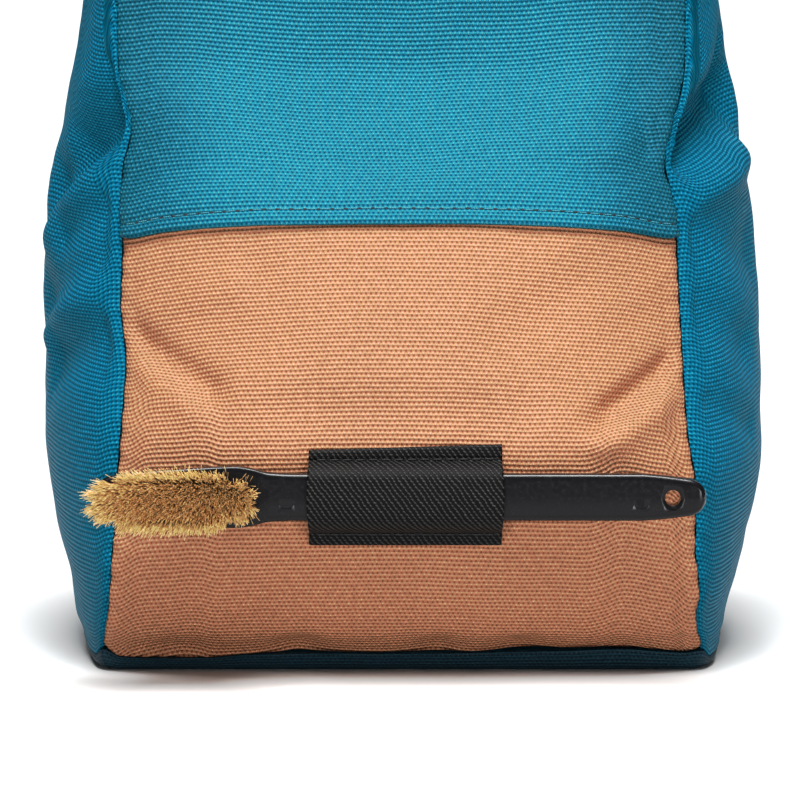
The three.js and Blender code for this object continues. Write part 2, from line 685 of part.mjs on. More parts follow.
// Elastic strip sewn down along both hems, running over the handle in between.
function brushSleeve() {
  const halfHandle = BRUSH_WIDTH / 2;
  const loopFront = BRUSH_FRONT - BRUSH_CLEARANCE - SLEEVE_WALL;
  const lowHem = -(halfHandle + SLEEVE_REACH);
  const stops = [
    { up: lowHem - SLEEVE_HEM, rise: 0, hem: 1 },
    { up: lowHem - SLEEVE_HEM / 2, rise: 0, hem: 1 },
    ...SLEEVE_SLOPE.map((row) => ({
      up: mix(lowHem, -halfHandle, row.run),
      rise: row.rise,
      hem: Math.max(1 - row.run * 5, 0),
    })),
  ];
  const upper = stops.map((stop) => ({ ...stop, up: -stop.up })).reverse();
  const middle = { up: 0, rise: 1.03, hem: 0 };
  const section = [...stops, middle, ...upper];
  const lastStop = section.length - 1;
  const columnAt = (name, share) => {
    const place = Math.min(share * lastStop, lastStop - 0.0001);
    const low = Math.floor(place);
    return mix(section[low][name], section[low + 1][name], place - low);
  };
  const outerAt = (across, share) => {
    const x = SLEEVE_CENTRE_ACROSS + (across - 0.5) * SLEEVE_WIDTH;
    const slant = SLEEVE_SLANT * (across - 0.5) * smoothStep(0.5, 1, share);
    const height = BRUSH_CENTRE_HEIGHT + columnAt("up", share) + slant;
    const panelShare = mix(0.5, 0.5 + x / BAG_WIDTH, 1.04);
    const wall = mix(SLEEVE_WALL, SLEEVE_HEM_WALL, columnAt("hem", share));
    const onPanel = frontPoint(panelShare, height).y - SEAM_GAP - wall - BRUSH_CLEARANCE / 2;
    return new THREE.Vector3(x, mix(onPanel, loopFront, columnAt("rise", share)), height);
  };
  const inwardAt = (across, share) => {
    const wall = mix(SLEEVE_WALL, SLEEVE_HEM_WALL, columnAt("hem", share));
    return squareTo(outerAt, across, share).multiplyScalar(-wall);
  };
  const shares = section.map((_, index) => index / lastStop);
  return sheetSolid(outerAt, inwardAt, gatheredShares(8, 0.3), shares);
}

const group = new THREE.Group();
group.name = "climbing_chalk_bag";
group.add(
  makePiece("front_upper_panel", frontUpperPanel(), TEAL, 0.85),
  makePiece("front_lower_panel", frontLowerPanel(), COPPER, 0.85),
  makePiece("left_side_panel", sidePanel(-1), TEAL_SIDE, 0.85),
  makePiece("right_side_panel", sidePanel(1), TEAL_SIDE, 0.85),
  makePiece("back_panel", backPanel(), TEAL, 0.85),
  makePiece("base_panel", basePanel(), DARK_TEAL, 0.9),
  makePiece("brush_sleeve", brushSleeve(), BLACK_ELASTIC, 0.9),
  makePiece("brush_handle", brushHandle(), BLACK_PLASTIC, 0.35),
  makePiece("brush_bristles", brushBristles(), BOAR_TAN, 0.95),
);

export default group;
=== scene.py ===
"""Climbing chalk bag with a brush in an elastic sleeve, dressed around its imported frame.

Lengths in the tables and dataclasses are millimetres, and meshes are written in metres. +Z is up,
the front looks along -Y and the origin is under the middle of the base.
"""

import logging
import math
from dataclasses import dataclass
from enum import Enum
from typing import NamedTuple, Sequence

import bpy
import numpy as np
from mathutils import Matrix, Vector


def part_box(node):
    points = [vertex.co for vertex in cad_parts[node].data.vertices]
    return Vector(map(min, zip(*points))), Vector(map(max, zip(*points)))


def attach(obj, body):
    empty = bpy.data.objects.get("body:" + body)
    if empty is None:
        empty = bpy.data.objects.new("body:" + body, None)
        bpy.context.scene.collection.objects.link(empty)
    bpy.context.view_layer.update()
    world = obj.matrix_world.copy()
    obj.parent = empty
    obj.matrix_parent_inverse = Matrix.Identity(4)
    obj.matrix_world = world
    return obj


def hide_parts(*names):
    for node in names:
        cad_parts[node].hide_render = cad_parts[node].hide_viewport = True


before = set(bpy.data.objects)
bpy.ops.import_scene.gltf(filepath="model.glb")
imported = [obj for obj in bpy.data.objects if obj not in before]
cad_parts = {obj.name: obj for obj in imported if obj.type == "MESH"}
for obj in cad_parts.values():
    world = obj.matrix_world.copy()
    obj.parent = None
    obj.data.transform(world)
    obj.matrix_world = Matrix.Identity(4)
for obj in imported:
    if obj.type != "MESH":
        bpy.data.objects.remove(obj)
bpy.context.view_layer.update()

LOG = logging.getLogger("chalk_bag")
MM = 0.001
Piece = bpy.types.Object
Material = bpy.types.Material
Colour = tuple[float, float, float]


class SeamRow(NamedTuple):
    """Front seams at a height, as shares of half the bag's width."""

    height: float
    left: float
    right: float


class HalfRow(NamedTuple):
    """Back seams at a height, as a share of half the bag's width."""

    height: float
    half: float


class ProfileRow(NamedTuple):
    """Depths at a height: seams of half the depth, crowns and bulge of their own sizes."""

    height: float
    front: float
    front_crown: float
    back: float
    back_crown: float
    bulge: float


class EdgeRow(NamedTuple):
    """Level of an edge across a panel, as a share of its own height."""

    across: float
    level: float


class Fold(NamedTuple):
    """One fold: its ends in shares across and up, its reach and its push."""

    across: float
    up: float
    to_across: float
    to_up: float
    reach: float
    push: float


class BaseRow(NamedTuple):
    """Edge of the base: how far in, as a share of its inset and in millimetres, and its level."""

    share: float
    depth: float
    level: float


class Dent(NamedTuple):
    """One dent above the base seam: its X, half width and depth in millimetres."""

    place: float
    width: float
    depth: float


class BrushRow(NamedTuple):
    """Half width of the brush along its length: shares of the blade and of the head's extra."""

    along: float
    blade: float
    head: float


class Side(Enum):
    """Which side panel, with the sign of its X."""

    LEFT = -1
    RIGHT = 1


def rows_of(kind: type, *rows: tuple[float, ...]) -> tuple:
    """A table whose rows have the named columns of one kind."""
    return tuple(kind(*row) for row in rows)


FRONT_SEAMS = rows_of(
    SeamRow,
    (0.02, 1.004, 1.016), (0.045, 0.998, 1.008), (0.06, 0.993, 0.994), (0.08, 0.984, 0.99),
    (0.11, 0.976, 0.998), (0.14, 0.97, 0.993), (0.175, 0.964, 0.982), (0.21, 0.953, 0.983),
    (0.27, 0.946, 0.98), (0.335, 0.935, 0.957), (0.38, 0.928, 0.951), (0.43, 0.923, 0.947),
    (0.46, 0.932, 0.945), (0.51, 0.947, 0.941), (0.59, 0.943, 0.935), (0.66, 0.951, 0.917),
    (0.695, 0.946, 0.901), (0.72, 0.932, 0.915), (0.742, 0.921, 0.927), (0.77, 0.933, 0.944),
    (0.83, 0.969, 0.973), (0.9, 0.976, 0.978), (1.0, 0.966, 0.966),
)

BACK_SEAMS = rows_of(
    HalfRow,
    (0.02, 1.01), (0.2, 0.97), (0.45, 0.945), (0.7, 0.945), (1.0, 0.966),
)

PROFILE = rows_of(
    ProfileRow,
    (0.026, 1.0, 0.05, 1.0, 0.05, 0.34), (0.06, 1.057, 0.2, 1.05, 0.2, 0.46),
    (0.11, 1.107, 0.36, 1.09, 0.38, 0.57), (0.17, 1.136, 0.5, 1.11, 0.55, 0.74),
    (0.25, 1.143, 0.7, 1.11, 0.75, 0.9), (0.32, 1.129, 0.87, 1.09, 0.88, 0.97),
    (0.395, 1.064, 0.965, 1.03, 0.96, 1.0), (0.47, 0.971, 1.0, 0.95, 1.0, 1.0),
    (0.545, 0.871, 0.965, 0.865, 0.97, 0.98), (0.62, 0.767, 0.93, 0.775, 0.9, 0.95),
    (0.67, 0.693, 0.86, 0.71, 0.82, 0.91), (0.72, 0.619, 0.7, 0.645, 0.72, 0.84),
    (0.77, 0.543, 0.46, 0.58, 0.6, 0.76), (0.84, 0.45, 0.23, 0.5, 0.5, 0.57),
    (0.92, 0.386, 0.23, 0.44, 0.45, 0.46), (1.0, 0.364, 0.3, 0.42, 0.45, 0.4),
)

BASE_SEAM = rows_of(
    EdgeRow,
    (0.0, 1.25), (0.03, 0.8), (0.07, 0.73), (0.18, 0.76), (0.24, 0.92), (0.33, 1.0), (0.5, 1.0),
    (0.77, 1.17), (0.875, 1.24), (0.97, 1.03), (1.0, 1.13),
)
BASE_SEAM_BACK = 1.1

BASE_PROFILE = rows_of(
    BaseRow,
    (2.2, 0.0, 0.0), (1.0, 0.0, 0.0), (0.72, 0.0, 0.03), (0.5, 0.0, 0.1), (0.32, 0.0, 0.21),
    (0.17, 0.0, 0.36), (0.08, 0.0, 0.54), (0.02, 0.0, 0.74), (0.03, 0.0, 0.88), (0.0, 0.35, 0.97),
    (0.0, 0.9, 1.0), (0.0, 1.6, 1.0),
)

HEM_LINE = rows_of(
    EdgeRow,
    (0.0, 0.96), (0.085, 0.979), (0.17, 0.991), (0.28, 0.997), (0.5, 0.999), (0.61, 1.0),
    (0.77, 0.994), (0.885, 0.983), (1.0, 0.96),
)

FRONT_FOLDS = rows_of(
    Fold,
    (0.02, 0.455, 0.15, 0.395, 0.022, -0.12), (0.05, 0.5, 0.2, 0.535, 0.034, 0.1),
    (0.08, 0.6, 0.22, 0.575, 0.05, -0.08), (0.97, 0.42, 0.84, 0.35, 0.024, -0.14),
    (0.96, 0.36, 0.88, 0.33, 0.03, 0.12), (0.94, 0.6, 0.68, 0.47, 0.06, -0.1),
    (0.93, 0.52, 0.84, 0.5, 0.05, 0.09), (0.99, 0.71, 0.9, 0.77, 0.04, -0.1),
    (0.98, 0.665, 0.9, 0.71, 0.035, 0.1), (0.35, 0.82, 0.65, 0.82, 0.12, -0.16),
)

LEFT_FOLDS = rows_of(
    Fold,
    (0.02, 0.75, 0.34, 0.66, 0.05, -0.24), (0.02, 0.69, 0.3, 0.59, 0.035, 0.08),
    (0.03, 0.475, 0.24, 0.44, 0.035, -0.1), (0.65, 0.72, 0.98, 0.76, 0.06, -0.14),
)
RIGHT_FOLDS = rows_of(
    Fold,
    (0.02, 0.71, 0.36, 0.79, 0.05, -0.24), (0.02, 0.655, 0.32, 0.7, 0.035, 0.09),
    (0.03, 0.37, 0.2, 0.33, 0.03, -0.06), (0.62, 0.76, 0.98, 0.72, 0.06, -0.14),
)

FRONT_FINE = rows_of(
    Fold,
    (0.01, 0.475, 0.16, 0.4, 0.026, -0.16), (0.02, 0.42, 0.13, 0.37, 0.024, 0.08),
    (0.99, 0.44, 0.86, 0.37, 0.024, -0.2), (0.98, 0.385, 0.84, 0.33, 0.026, 0.16),
    (0.2, 0.37, 0.7, 0.37, 0.045, -0.1), (0.92, 0.8, 0.96, 0.72, 0.03, -0.14),
)
FRONT_RELIEF_FOOT = 50.0
FRONT_RELIEF_STEP = 10.0
FRONT_RELIEF = (
    (0, 0, 0, 0, 0, 0, 0, 0, 0, 0, 0),
    (0, 0, -0.5, 0, 0, 0, 0, 0, -0.8, -0.5, 0),
    (-1, -2, -2.7, -1, 0, 0, 0, -1.5, -5.5, -6, -3),
    (-3, -5.5, -5.2, -2.5, 0, 0.4, 0, -4.5, -6.5, -6.8, -5),
    (-5, -7.2, -8, -6, 0, 0, 0, -7.5, -9.8, -8.8, -6.5),
    (-5.5, -8.5, -12, -6.6, 0, 0, 0, -7, -13, -9.6, -6.8),
    (-4.8, -6.2, -8.2, -4.6, -1, 0, -1, -4.2, -9, -8.2, -6.4),
    (-3.8, -4.6, -4.4, -3, -1.8, -0.6, -1.2, -3.8, -5, -5.6, -5.4),
    (-2.4, -3.2, -3, -2.4, -2.2, -1.8, -1, -2.6, -3.2, -4.4, -4),
    (-1, -1.2, -1.2, -0.6, -3, -3.8, -0.8, 0, -1.4, -1.4, -2.4),
    (0, 0.6, 0.8, 0, -2.6, -3.4, -0.6, 1, 2.6, 1.4, -0.6),
    (0, 0.4, 1.4, -0.6, -1.2, -1.2, 0, 1.2, 3.2, 1.2, 0.4),
    (0, 0, 0.2, -1, -0.6, -0.4, 0, 0, 0.8, 0.6, 0.2),
    (0, 0, 0, 0, 0, 0, 0, 0, 0, 0, 0),
)
LEFT_FINE = rows_of(
    Fold,
    (0.02, 0.57, 0.3, 0.5, 0.045, -0.12), (0.03, 0.53, 0.3, 0.45, 0.03, 0.08),
    (0.03, 0.44, 0.25, 0.4, 0.04, -0.1), (0.02, 0.8, 0.22, 0.71, 0.05, -0.22),
    (0.02, 0.64, 0.2, 0.6, 0.04, -0.14),
)
RIGHT_FINE = rows_of(
    Fold,
    (0.02, 0.71, 0.36, 0.79, 0.05, -0.12), (0.02, 0.655, 0.32, 0.7, 0.035, 0.06),
    (0.03, 0.6, 0.3, 0.57, 0.06, -0.12), (0.02, 0.74, 0.3, 0.84, 0.045, -0.24),
    (0.02, 0.5, 0.2, 0.44, 0.05, -0.12),
)

LOW_DENTS = rows_of(
    Dent,
    (-29.0, 7.0, 2.0), (11.0, 6.0, 1.3), (32.0, 8.0, 1.3), (-62.0, 6.0, 0.7), (58.0, 7.0, 0.6),
)

BRUSH_OUTLINE = rows_of(
    BrushRow,
    (0.0, 0.3, 0.0), (0.008, 0.62, 0.0), (0.025, 0.86, 0.1), (0.055, 0.98, 0.2), (0.1, 1.0, 0.42),
    (0.17, 1.0, 0.8), (0.233, 1.0, 1.0), (0.26, 1.0, 0.7), (0.287, 1.0, 0.16), (0.33, 1.0, 0.0),
    (0.6, 1.0, 0.0), (0.892, 1.0, 0.0), (0.93, 0.93, 0.0), (0.962, 0.83, 0.0), (0.976, 0.78, 0.0),
    (0.986, 0.68, 0.0), (0.994, 0.5, 0.0), (1.0, 0.24, 0.0),
)


def read_table(rows: Sequence[tuple], column: str, keys: np.ndarray) -> np.ndarray:
    """Read one column of a table along a smooth curve with no overshoot.

    Args:
        rows: Table rows, ordered by their first field.
        column: Name of the field to read.
        keys: Places to read it at, in the first field's units.

    Returns:
        The column's values, in the shape of keys.
    """
    places = np.array([row[0] for row in rows])
    values = np.array([getattr(row, column) for row in rows])
    spans = np.diff(places)
    slopes = np.diff(values) / spans
    product = slopes[:-1] * slopes[1:]
    total = slopes[:-1] + slopes[1:]
    tangents = np.zeros(len(rows))
    agree = product > 0
    tangents[1:-1][agree] = 2 * product[agree] / total[agree]
    keys = np.clip(keys, places[0], places[-1])
    index = np.clip(np.searchsorted(places, keys, side="right") - 1, 0, len(rows) - 2)
    part = (keys - places[index]) / spans[index]
    squared = part**2
    cubed = part**3
    return (
        values[index] * (2 * cubed - 3 * squared + 1)
        + values[index + 1] * (3 * squared - 2 * cubed)
        + tangents[index] * spans[index] * (cubed - 2 * squared + part)
        + tangents[index + 1] * spans[index] * (cubed - squared)
    )


def smooth_step(low: float, high: float, value: np.ndarray) -> np.ndarray:
    """Ease from 0 at low to 1 at high."""
    share = np.clip((value - low) / (high - low), 0.0, 1.0)
    return share * share * (3 - 2 * share)


def gathered(count: int, gather: float) -> np.ndarray:
    """Shares from 0 to 1, drawn together at both ends.

    Args:
        count: Number of steps.
        gather: 0 for even steps, 1 for steps that shrink as on a half circle.

    Returns:
        count + 1 rising shares.
    """
    even = np.linspace(0.0, 1.0, count + 1)
    return (1 - gather) * even + gather * (0.5 - 0.5 * np.cos(np.pi * even))


def soft_lumps(first: np.ndarray, second: np.ndarray, size: float, phase: float) -> np.ndarray:
    """Gentle uneven rise and fall of slack cloth, from -1 to 1.

    Args:
        first: Distance along one way of the cloth.
        second: Distance along the other way.
        size: Rough width of one lump.
        phase: Shifts the pattern, so that two pieces differ.

    Returns:
        A height for each place.
    """
    turn = 2 * np.pi / size
    return (
        np.sin(turn * (0.9 * first + 0.35 * second) + phase)
        + 0.8 * np.sin(turn * (1.25 * second - 0.5 * first) + 2.1 * phase)
        + 0.6 * np.sin(turn * 1.7 * (0.6 * first - 0.8 * second) + 3.7 * phase)
    ) / 2.4


def even_spline(places: np.ndarray, count: int) -> np.ndarray:
    """Shares of each of count even knots at some places, along a smooth curve.

    Args:
        places: Places in steps from the first knot.
        count: Number of knots.

    Returns:
        One share for each place and knot, adding up to 1.
    """
    shares = []
    for knot in range(-1, count + 1):
        off = np.abs(np.clip(places, 0.0, count - 1.0) - knot)
        near = 2 / 3 - off**2 + off**3 / 2
        far = np.clip(2 - off, 0.0, None) ** 3 / 6
        shares.append(np.where(off < 1, near, far))
    first, last = shares[0], shares[-1]
    inner = shares[1:-1]
    inner[1] = inner[1] + first
    inner[-2] = inner[-2] + last
    return np.stack(inner, -1)


@dataclass(frozen=True)
class BagForm:
    """Outer form of the bag, from the same sizes and tables as its solids."""

    height: float = 200.0
    width: float = 164.0
    depth: float = 140.0
    front_crown: float = 15.0
    back_crown: float = 12.0
    side_bulge: float = 26.0
    wall: float = 1.6
    gap: float = 0.1
    mouth_hem: float = 18.0
    mouth_hem_wall: float = 2.8
    base_rise: float = 5.2
    base_floor: float = 2.2
    base_inset: float = 4.6
    hem_height: float = 123.0
    hem_lap: float = 6.0
    hem_fade: float = 12.0
    crown_power: float = 5.5
    crown_ease: float = 2.2
    seam_ease: float = 0.3
    hem_lift: float = 0.8
    tip_drop: float = 2.4
    bulge_power: float = 2.4
    bulge_roundness: float = 0.74

    def fold_push(
        self, folds: Sequence[Fold], across: np.ndarray, height: np.ndarray
    ) -> np.ndarray:
        """How far folds push the cloth out, fading at the seams.

        Args:
            folds: Table of folds.
            across: Shares across the panel.
            height: Heights in millimetres.

        Returns:
            The push as a share of the panel's crown or bulge.
        """
        push = np.zeros(np.broadcast(across, height).shape)
        for fold in folds:
            run_across = (fold.to_across - fold.across) * self.width
            run_up = (fold.to_up - fold.up) * self.height
            off_across = (across - fold.across) * self.width
            off_up = height - fold.up * self.height
            along = (off_across * run_across + off_up * run_up) / (run_across**2 + run_up**2)
            near = np.clip(along, 0.0, 1.0)
            distance = np.hypot(off_across - run_across * near, off_up - run_up * near)
            push = push + fold.push * np.exp(-((distance / (fold.reach * self.width)) ** 2))
        fade = smooth_step(0.0, 0.05, across) * smooth_step(0.0, 0.05, 1 - across)
        return push * fade * smooth_step(self.base_rise, 4 * self.base_rise, height)

    def seam_across(self, side: Side, height: np.ndarray) -> np.ndarray:
        """X of a front seam at a height."""
        share = read_table(FRONT_SEAMS, side.name.lower(), height / self.height)
        return side.value * (share * self.width / 2 + self.seam_ease)

    def back_seam_across(self, side: Side, height: np.ndarray) -> np.ndarray:
        """X of a back seam at a height."""
        share = read_table(BACK_SEAMS, "half", height / self.height)
        return side.value * share * self.width / 2

    def half_depth(self, column: str, height: np.ndarray) -> np.ndarray:
        """Distance of the front or back seams from the middle plane."""
        return read_table(PROFILE, column, height / self.height) * self.depth / 2

    def crown_shape(self, across: np.ndarray, height: np.ndarray) -> np.ndarray:
        """Full across the middle of a panel and falling away to its seams."""
        power = self.crown_power - self.crown_ease * smooth_step(100.0, 140.0, height)
        return 1 - np.abs(2 * across - 1) ** power

    def front_relief(self, across: np.ndarray, height: np.ndarray) -> np.ndarray:
        """Broad dents and swells of the front, from a table of even rows and columns."""
        across, height = np.broadcast_arrays(across, height)
        table = np.array(FRONT_RELIEF)
        rows = even_spline((height - FRONT_RELIEF_FOOT) / FRONT_RELIEF_STEP, table.shape[0])
        turn = np.arccos(np.clip(1 - 2 * across, -1.0, 1.0)) / np.pi
        columns = even_spline(turn * (table.shape[1] - 1), table.shape[1])
        return np.einsum("...r,rc,...c->...", rows, table, columns)

    def front(self, across: np.ndarray, height: np.ndarray) -> np.ndarray:
        """Outer face of the front, from the left seam (0) to the right one (1)."""
        left = self.seam_across(Side.LEFT, height) + self.gap / 2
        right = self.seam_across(Side.RIGHT, height) - self.gap / 2
        crown = read_table(PROFILE, "front_crown", height / self.height)
        push = crown * self.crown_shape(across, height)
        push = push + self.fold_push(FRONT_FOLDS + FRONT_FINE, across, height)
        forward = self.half_depth("front", height) + push * self.front_crown
        forward = forward + self.front_relief(across, height)
        return np.stack([left + (right - left) * across, -forward, height + 0 * across], -1)

    def back(self, across: np.ndarray, height: np.ndarray) -> np.ndarray:
        """Outer face of the back, from the right seam (0) to the left one (1)."""
        right = self.back_seam_across(Side.RIGHT, height) - self.gap / 2
        left = self.back_seam_across(Side.LEFT, height) + self.gap / 2
        crown = read_table(PROFILE, "back_crown", height / self.height)
        backward = self.half_depth("back", height)
        backward = backward + crown * self.crown_shape(across, height) * self.back_crown
        return np.stack([right + (left - right) * across, backward, height + 0 * across], -1)

    def flank(self, side: Side, away: np.ndarray, height: np.ndarray) -> np.ndarray:
        """Outer face of a side, away from its front seam (0) to its back seam (1)."""
        folds = LEFT_FOLDS + LEFT_FINE if side is Side.LEFT else RIGHT_FOLDS + RIGHT_FINE
        front = self.seam_across(side, height) + side.value * self.gap / 2
        back = self.back_seam_across(side, height) + side.value * self.gap / 2
        bulge = read_table(PROFILE, "bulge", height / self.height)
        round_out = (1 - np.abs(2 * away - 1) ** self.bulge_power) ** self.bulge_roundness
        out = (bulge * round_out + self.fold_push(folds, away, height)) * self.side_bulge
        low = -self.half_depth("front", height)
        depth = low + (self.half_depth("back", height) - low) * away
        edge = 0.0 if side is Side.LEFT else 1.0
        depth = depth - self.front_relief(np.array(edge), height) * (1 - away) ** 3
        across = front + (back - front) * away + side.value * out
        return np.stack([across, depth, height + 0 * away], -1)

    def front_foot(self, across: np.ndarray) -> np.ndarray:
        """Height of the base seam along the front."""
        return read_table(BASE_SEAM, "level", across) * self.base_rise

    def flank_foot(self, side: Side, away: np.ndarray) -> np.ndarray:
        """Height of the base seam along a side."""
        start = self.front_foot(np.array(0.0 if side is Side.LEFT else 1.0))
        end = BASE_SEAM_BACK * self.base_rise
        drop = self.tip_drop * smooth_step(0.0, 0.035, away) * (1 - smooth_step(0.06, 0.3, away))
        return start + (end - start) * smooth_step(0.0, 0.3, away) - drop

    def hem(self, across: np.ndarray) -> np.ndarray:
        """Height of the upper front panel's hem."""
        return read_table(HEM_LINE, "level", across) * self.hem_height + self.hem_lift

    def rising(self, foot: np.ndarray, share: np.ndarray) -> np.ndarray:
        """Heights from a panel's foot to the rounded edge of the mouth."""
        return foot + (self.height - self.wall / 2 - foot) * share

    def wall_at(self, height: np.ndarray) -> np.ndarray:
        """Cloth thickness at a height: double at the mouth's hem."""
        start = self.height - self.mouth_hem
        extra = self.mouth_hem_wall - self.wall
        return self.wall + extra * smooth_step(start - self.wall, start, height)


def outward_of(grid: np.ndarray) -> np.ndarray:
    """Unit directions square to a grid of points.

    Args:
        grid: Points in rows that rise and columns that run to the right seen from outside.

    Returns:
        One direction for each point.
    """
    along_rows = np.gradient(grid, axis=1)
    along_columns = np.gradient(grid, axis=0)
    square = np.cross(along_rows, along_columns)
    return square / np.maximum(np.linalg.norm(square, axis=-1, keepdims=True), 1e-9)


def run_lengths(grid: np.ndarray, axis: int, start: int) -> np.ndarray:
    """Length along the cloth from one row or column of a grid.

    Args:
        grid: Grid of points.
        axis: 0 to run up the rows, 1 to run across the columns.
        start: Index of the row or column that counts as 0.

    Returns:
        A signed length for each point.
    """
    steps = np.linalg.norm(np.diff(grid, axis=axis), axis=-1)
    pad = [(0, 0), (0, 0)]
    pad[axis] = (1, 0)
    lengths = np.cumsum(np.pad(steps, pad), axis=axis)
    return lengths - np.take(lengths, [start], axis=axis)


def deselect_all() -> None:
    """Leave edit mode and select nothing."""
    if bpy.context.object and bpy.context.object.mode != "OBJECT":
        bpy.ops.object.mode_set(mode="OBJECT")
    bpy.ops.object.select_all(action="DESELECT")


def make_object(
    name: str, points: np.ndarray, faces: Sequence[Sequence[int]], smooth: bool = True
) -> Piece:
    """Make a mesh object at the origin.

    Args:
        name: Name of the piece.
        points: Corners in millimetres.
        faces: Corner indices of each face.
        smooth: Whether its faces are shaded smooth.

    Returns:
        The new object, linked to the scene.
    """
    mesh = bpy.data.meshes.new(name)
    mesh.from_pydata((points * MM).tolist(), [], faces)
    mesh.validate()
    mesh.polygons.foreach_set("use_smooth", [smooth] * len(mesh.polygons))
    piece = bpy.data.objects.new(name, mesh)
    bpy.context.scene.collection.objects.link(piece)
    return piece


def quad_faces(
    rows: int, columns: int, loop_rows: bool = False, loop_columns: bool = False, start: int = 0
) -> list[tuple[int, ...]]:
    """Faces between the points of a grid.

    Args:
        rows: Number of rows.
        columns: Number of points in a row.
        loop_rows: Whether the last row is joined to the first.
        loop_columns: Whether the last column is joined to the first.
        start: Index of the grid's first point.

    Returns:
        The corner indices of each face.
    """
    faces = []
    for row in range(rows if loop_rows else rows - 1):
        low, high = start + row * columns, start + (row + 1) % rows * columns
        for column in range(columns if loop_columns else columns - 1):
            after = (column + 1) % columns
            faces.append((low + column, low + after, high + after, high + column))
    return faces


def write_threads(piece: Piece, threads: np.ndarray) -> None:
    """Write the thread coordinates of a piece as its UV map.

    Args:
        piece: Mesh object.
        threads: Two lengths in millimetres for each corner point of the mesh.
    """
    layer = piece.data.uv_layers.new(name="threads")
    corners = np.empty(len(piece.data.loops), dtype=np.int64)
    piece.data.loops.foreach_get("vertex_index", corners)
    layer.data.foreach_set("uv", threads[corners].astype(np.float32).ravel())


@dataclass
class ClothShell:
    """Closed cloth from an outer grid of points, rounded at its top and, if asked, its foot."""

    outer: np.ndarray
    wall: np.ndarray
    threads: np.ndarray
    round_low: bool = True
    edge_steps: int = 4
    seam_thin: float = 0.3
    seam_taper: float = 5.0

    def _edge(self, inner: np.ndarray, top: bool) -> tuple[np.ndarray, np.ndarray]:
        """Half-round rows that join the outer and inner faces at one end, and their threads."""
        row, near = (-1, -2) if top else (0, 1)
        middle = (self.outer[row] + inner[row]) / 2
        radius = np.linalg.norm(self.outer[row] - inner[row], axis=-1, keepdims=True) / 2
        out = (self.outer[row] - middle) / radius
        along = self.outer[row] - self.outer[near]
        along = along - out * np.sum(along * out, axis=-1, keepdims=True)
        along = along / np.linalg.norm(along, axis=-1, keepdims=True)
        angles = np.linspace(0, np.pi, self.edge_steps + 2)[1:-1]
        rows = [middle + radius * (math.cos(a) * out + math.sin(a) * along) for a in angles]
        onward = np.concatenate([np.zeros_like(radius), radius if top else -radius], axis=-1)
        threads = [self.threads[row] + angle * onward for angle in angles]
        return np.array(rows), np.array(threads)

    def build(self, name: str) -> Piece:
        """Make the closed mesh, with its threads as a UV map.

        Args:
            name: Name of the piece.

        Returns:
            The new object.
        """
        run = run_lengths(self.outer, 1, 0)
        from_seam = np.minimum(run, run[:, -1:] - run)
        thin = self.seam_thin + (1 - self.seam_thin) * smooth_step(0.0, self.seam_taper, from_seam)
        inner = self.outer - outward_of(self.outer) * (self.wall * thin)[..., None]
        edge, edge_threads = self._edge(inner, top=True)
        rows = [self.outer, edge, inner[::-1]]
        threads = [self.threads, edge_threads, self.threads[::-1]]
        if self.round_low:
            edge, edge_threads = self._edge(inner, top=False)
            rows.append(edge[::-1])
            threads.append(edge_threads[::-1])
        loop = np.concatenate(rows)
        thread_loop = np.concatenate(threads)
        count, columns = loop.shape[:2]
        faces = quad_faces(count, columns, loop_rows=True) + self._cap_faces(count, columns)
        piece = make_object(name, loop.reshape(-1, 3), faces)
        write_threads(piece, thread_loop.reshape(-1, 2))
        # Distance from the nearest seam, which the weave reads for its painted seam shade.
        seam = piece.data.attributes.new("from_seam", "FLOAT", "POINT")
        seam.data.foreach_set("value", np.resize(from_seam[0], count * columns).astype(np.float32))
        return piece

    def _cap_faces(self, count: int, columns: int) -> list[tuple[int, int, int, int]]:
        """Faces that close the first and last columns."""
        low = self.edge_steps if self.round_low else 0
        order = [(row - low // 2) % count for row in range(count)]
        last = columns - 1
        faces = []
        for step in range(count // 2 - 1):
            one, two = order[step], order[step + 1]
            far_one, far_two = order[count - 1 - step], order[count - 2 - step]
            faces.append(tuple(row * columns for row in (one, two, far_two, far_one)))
            faces.append(tuple(row * columns + last for row in (one, far_one, far_two, two)))
        return faces


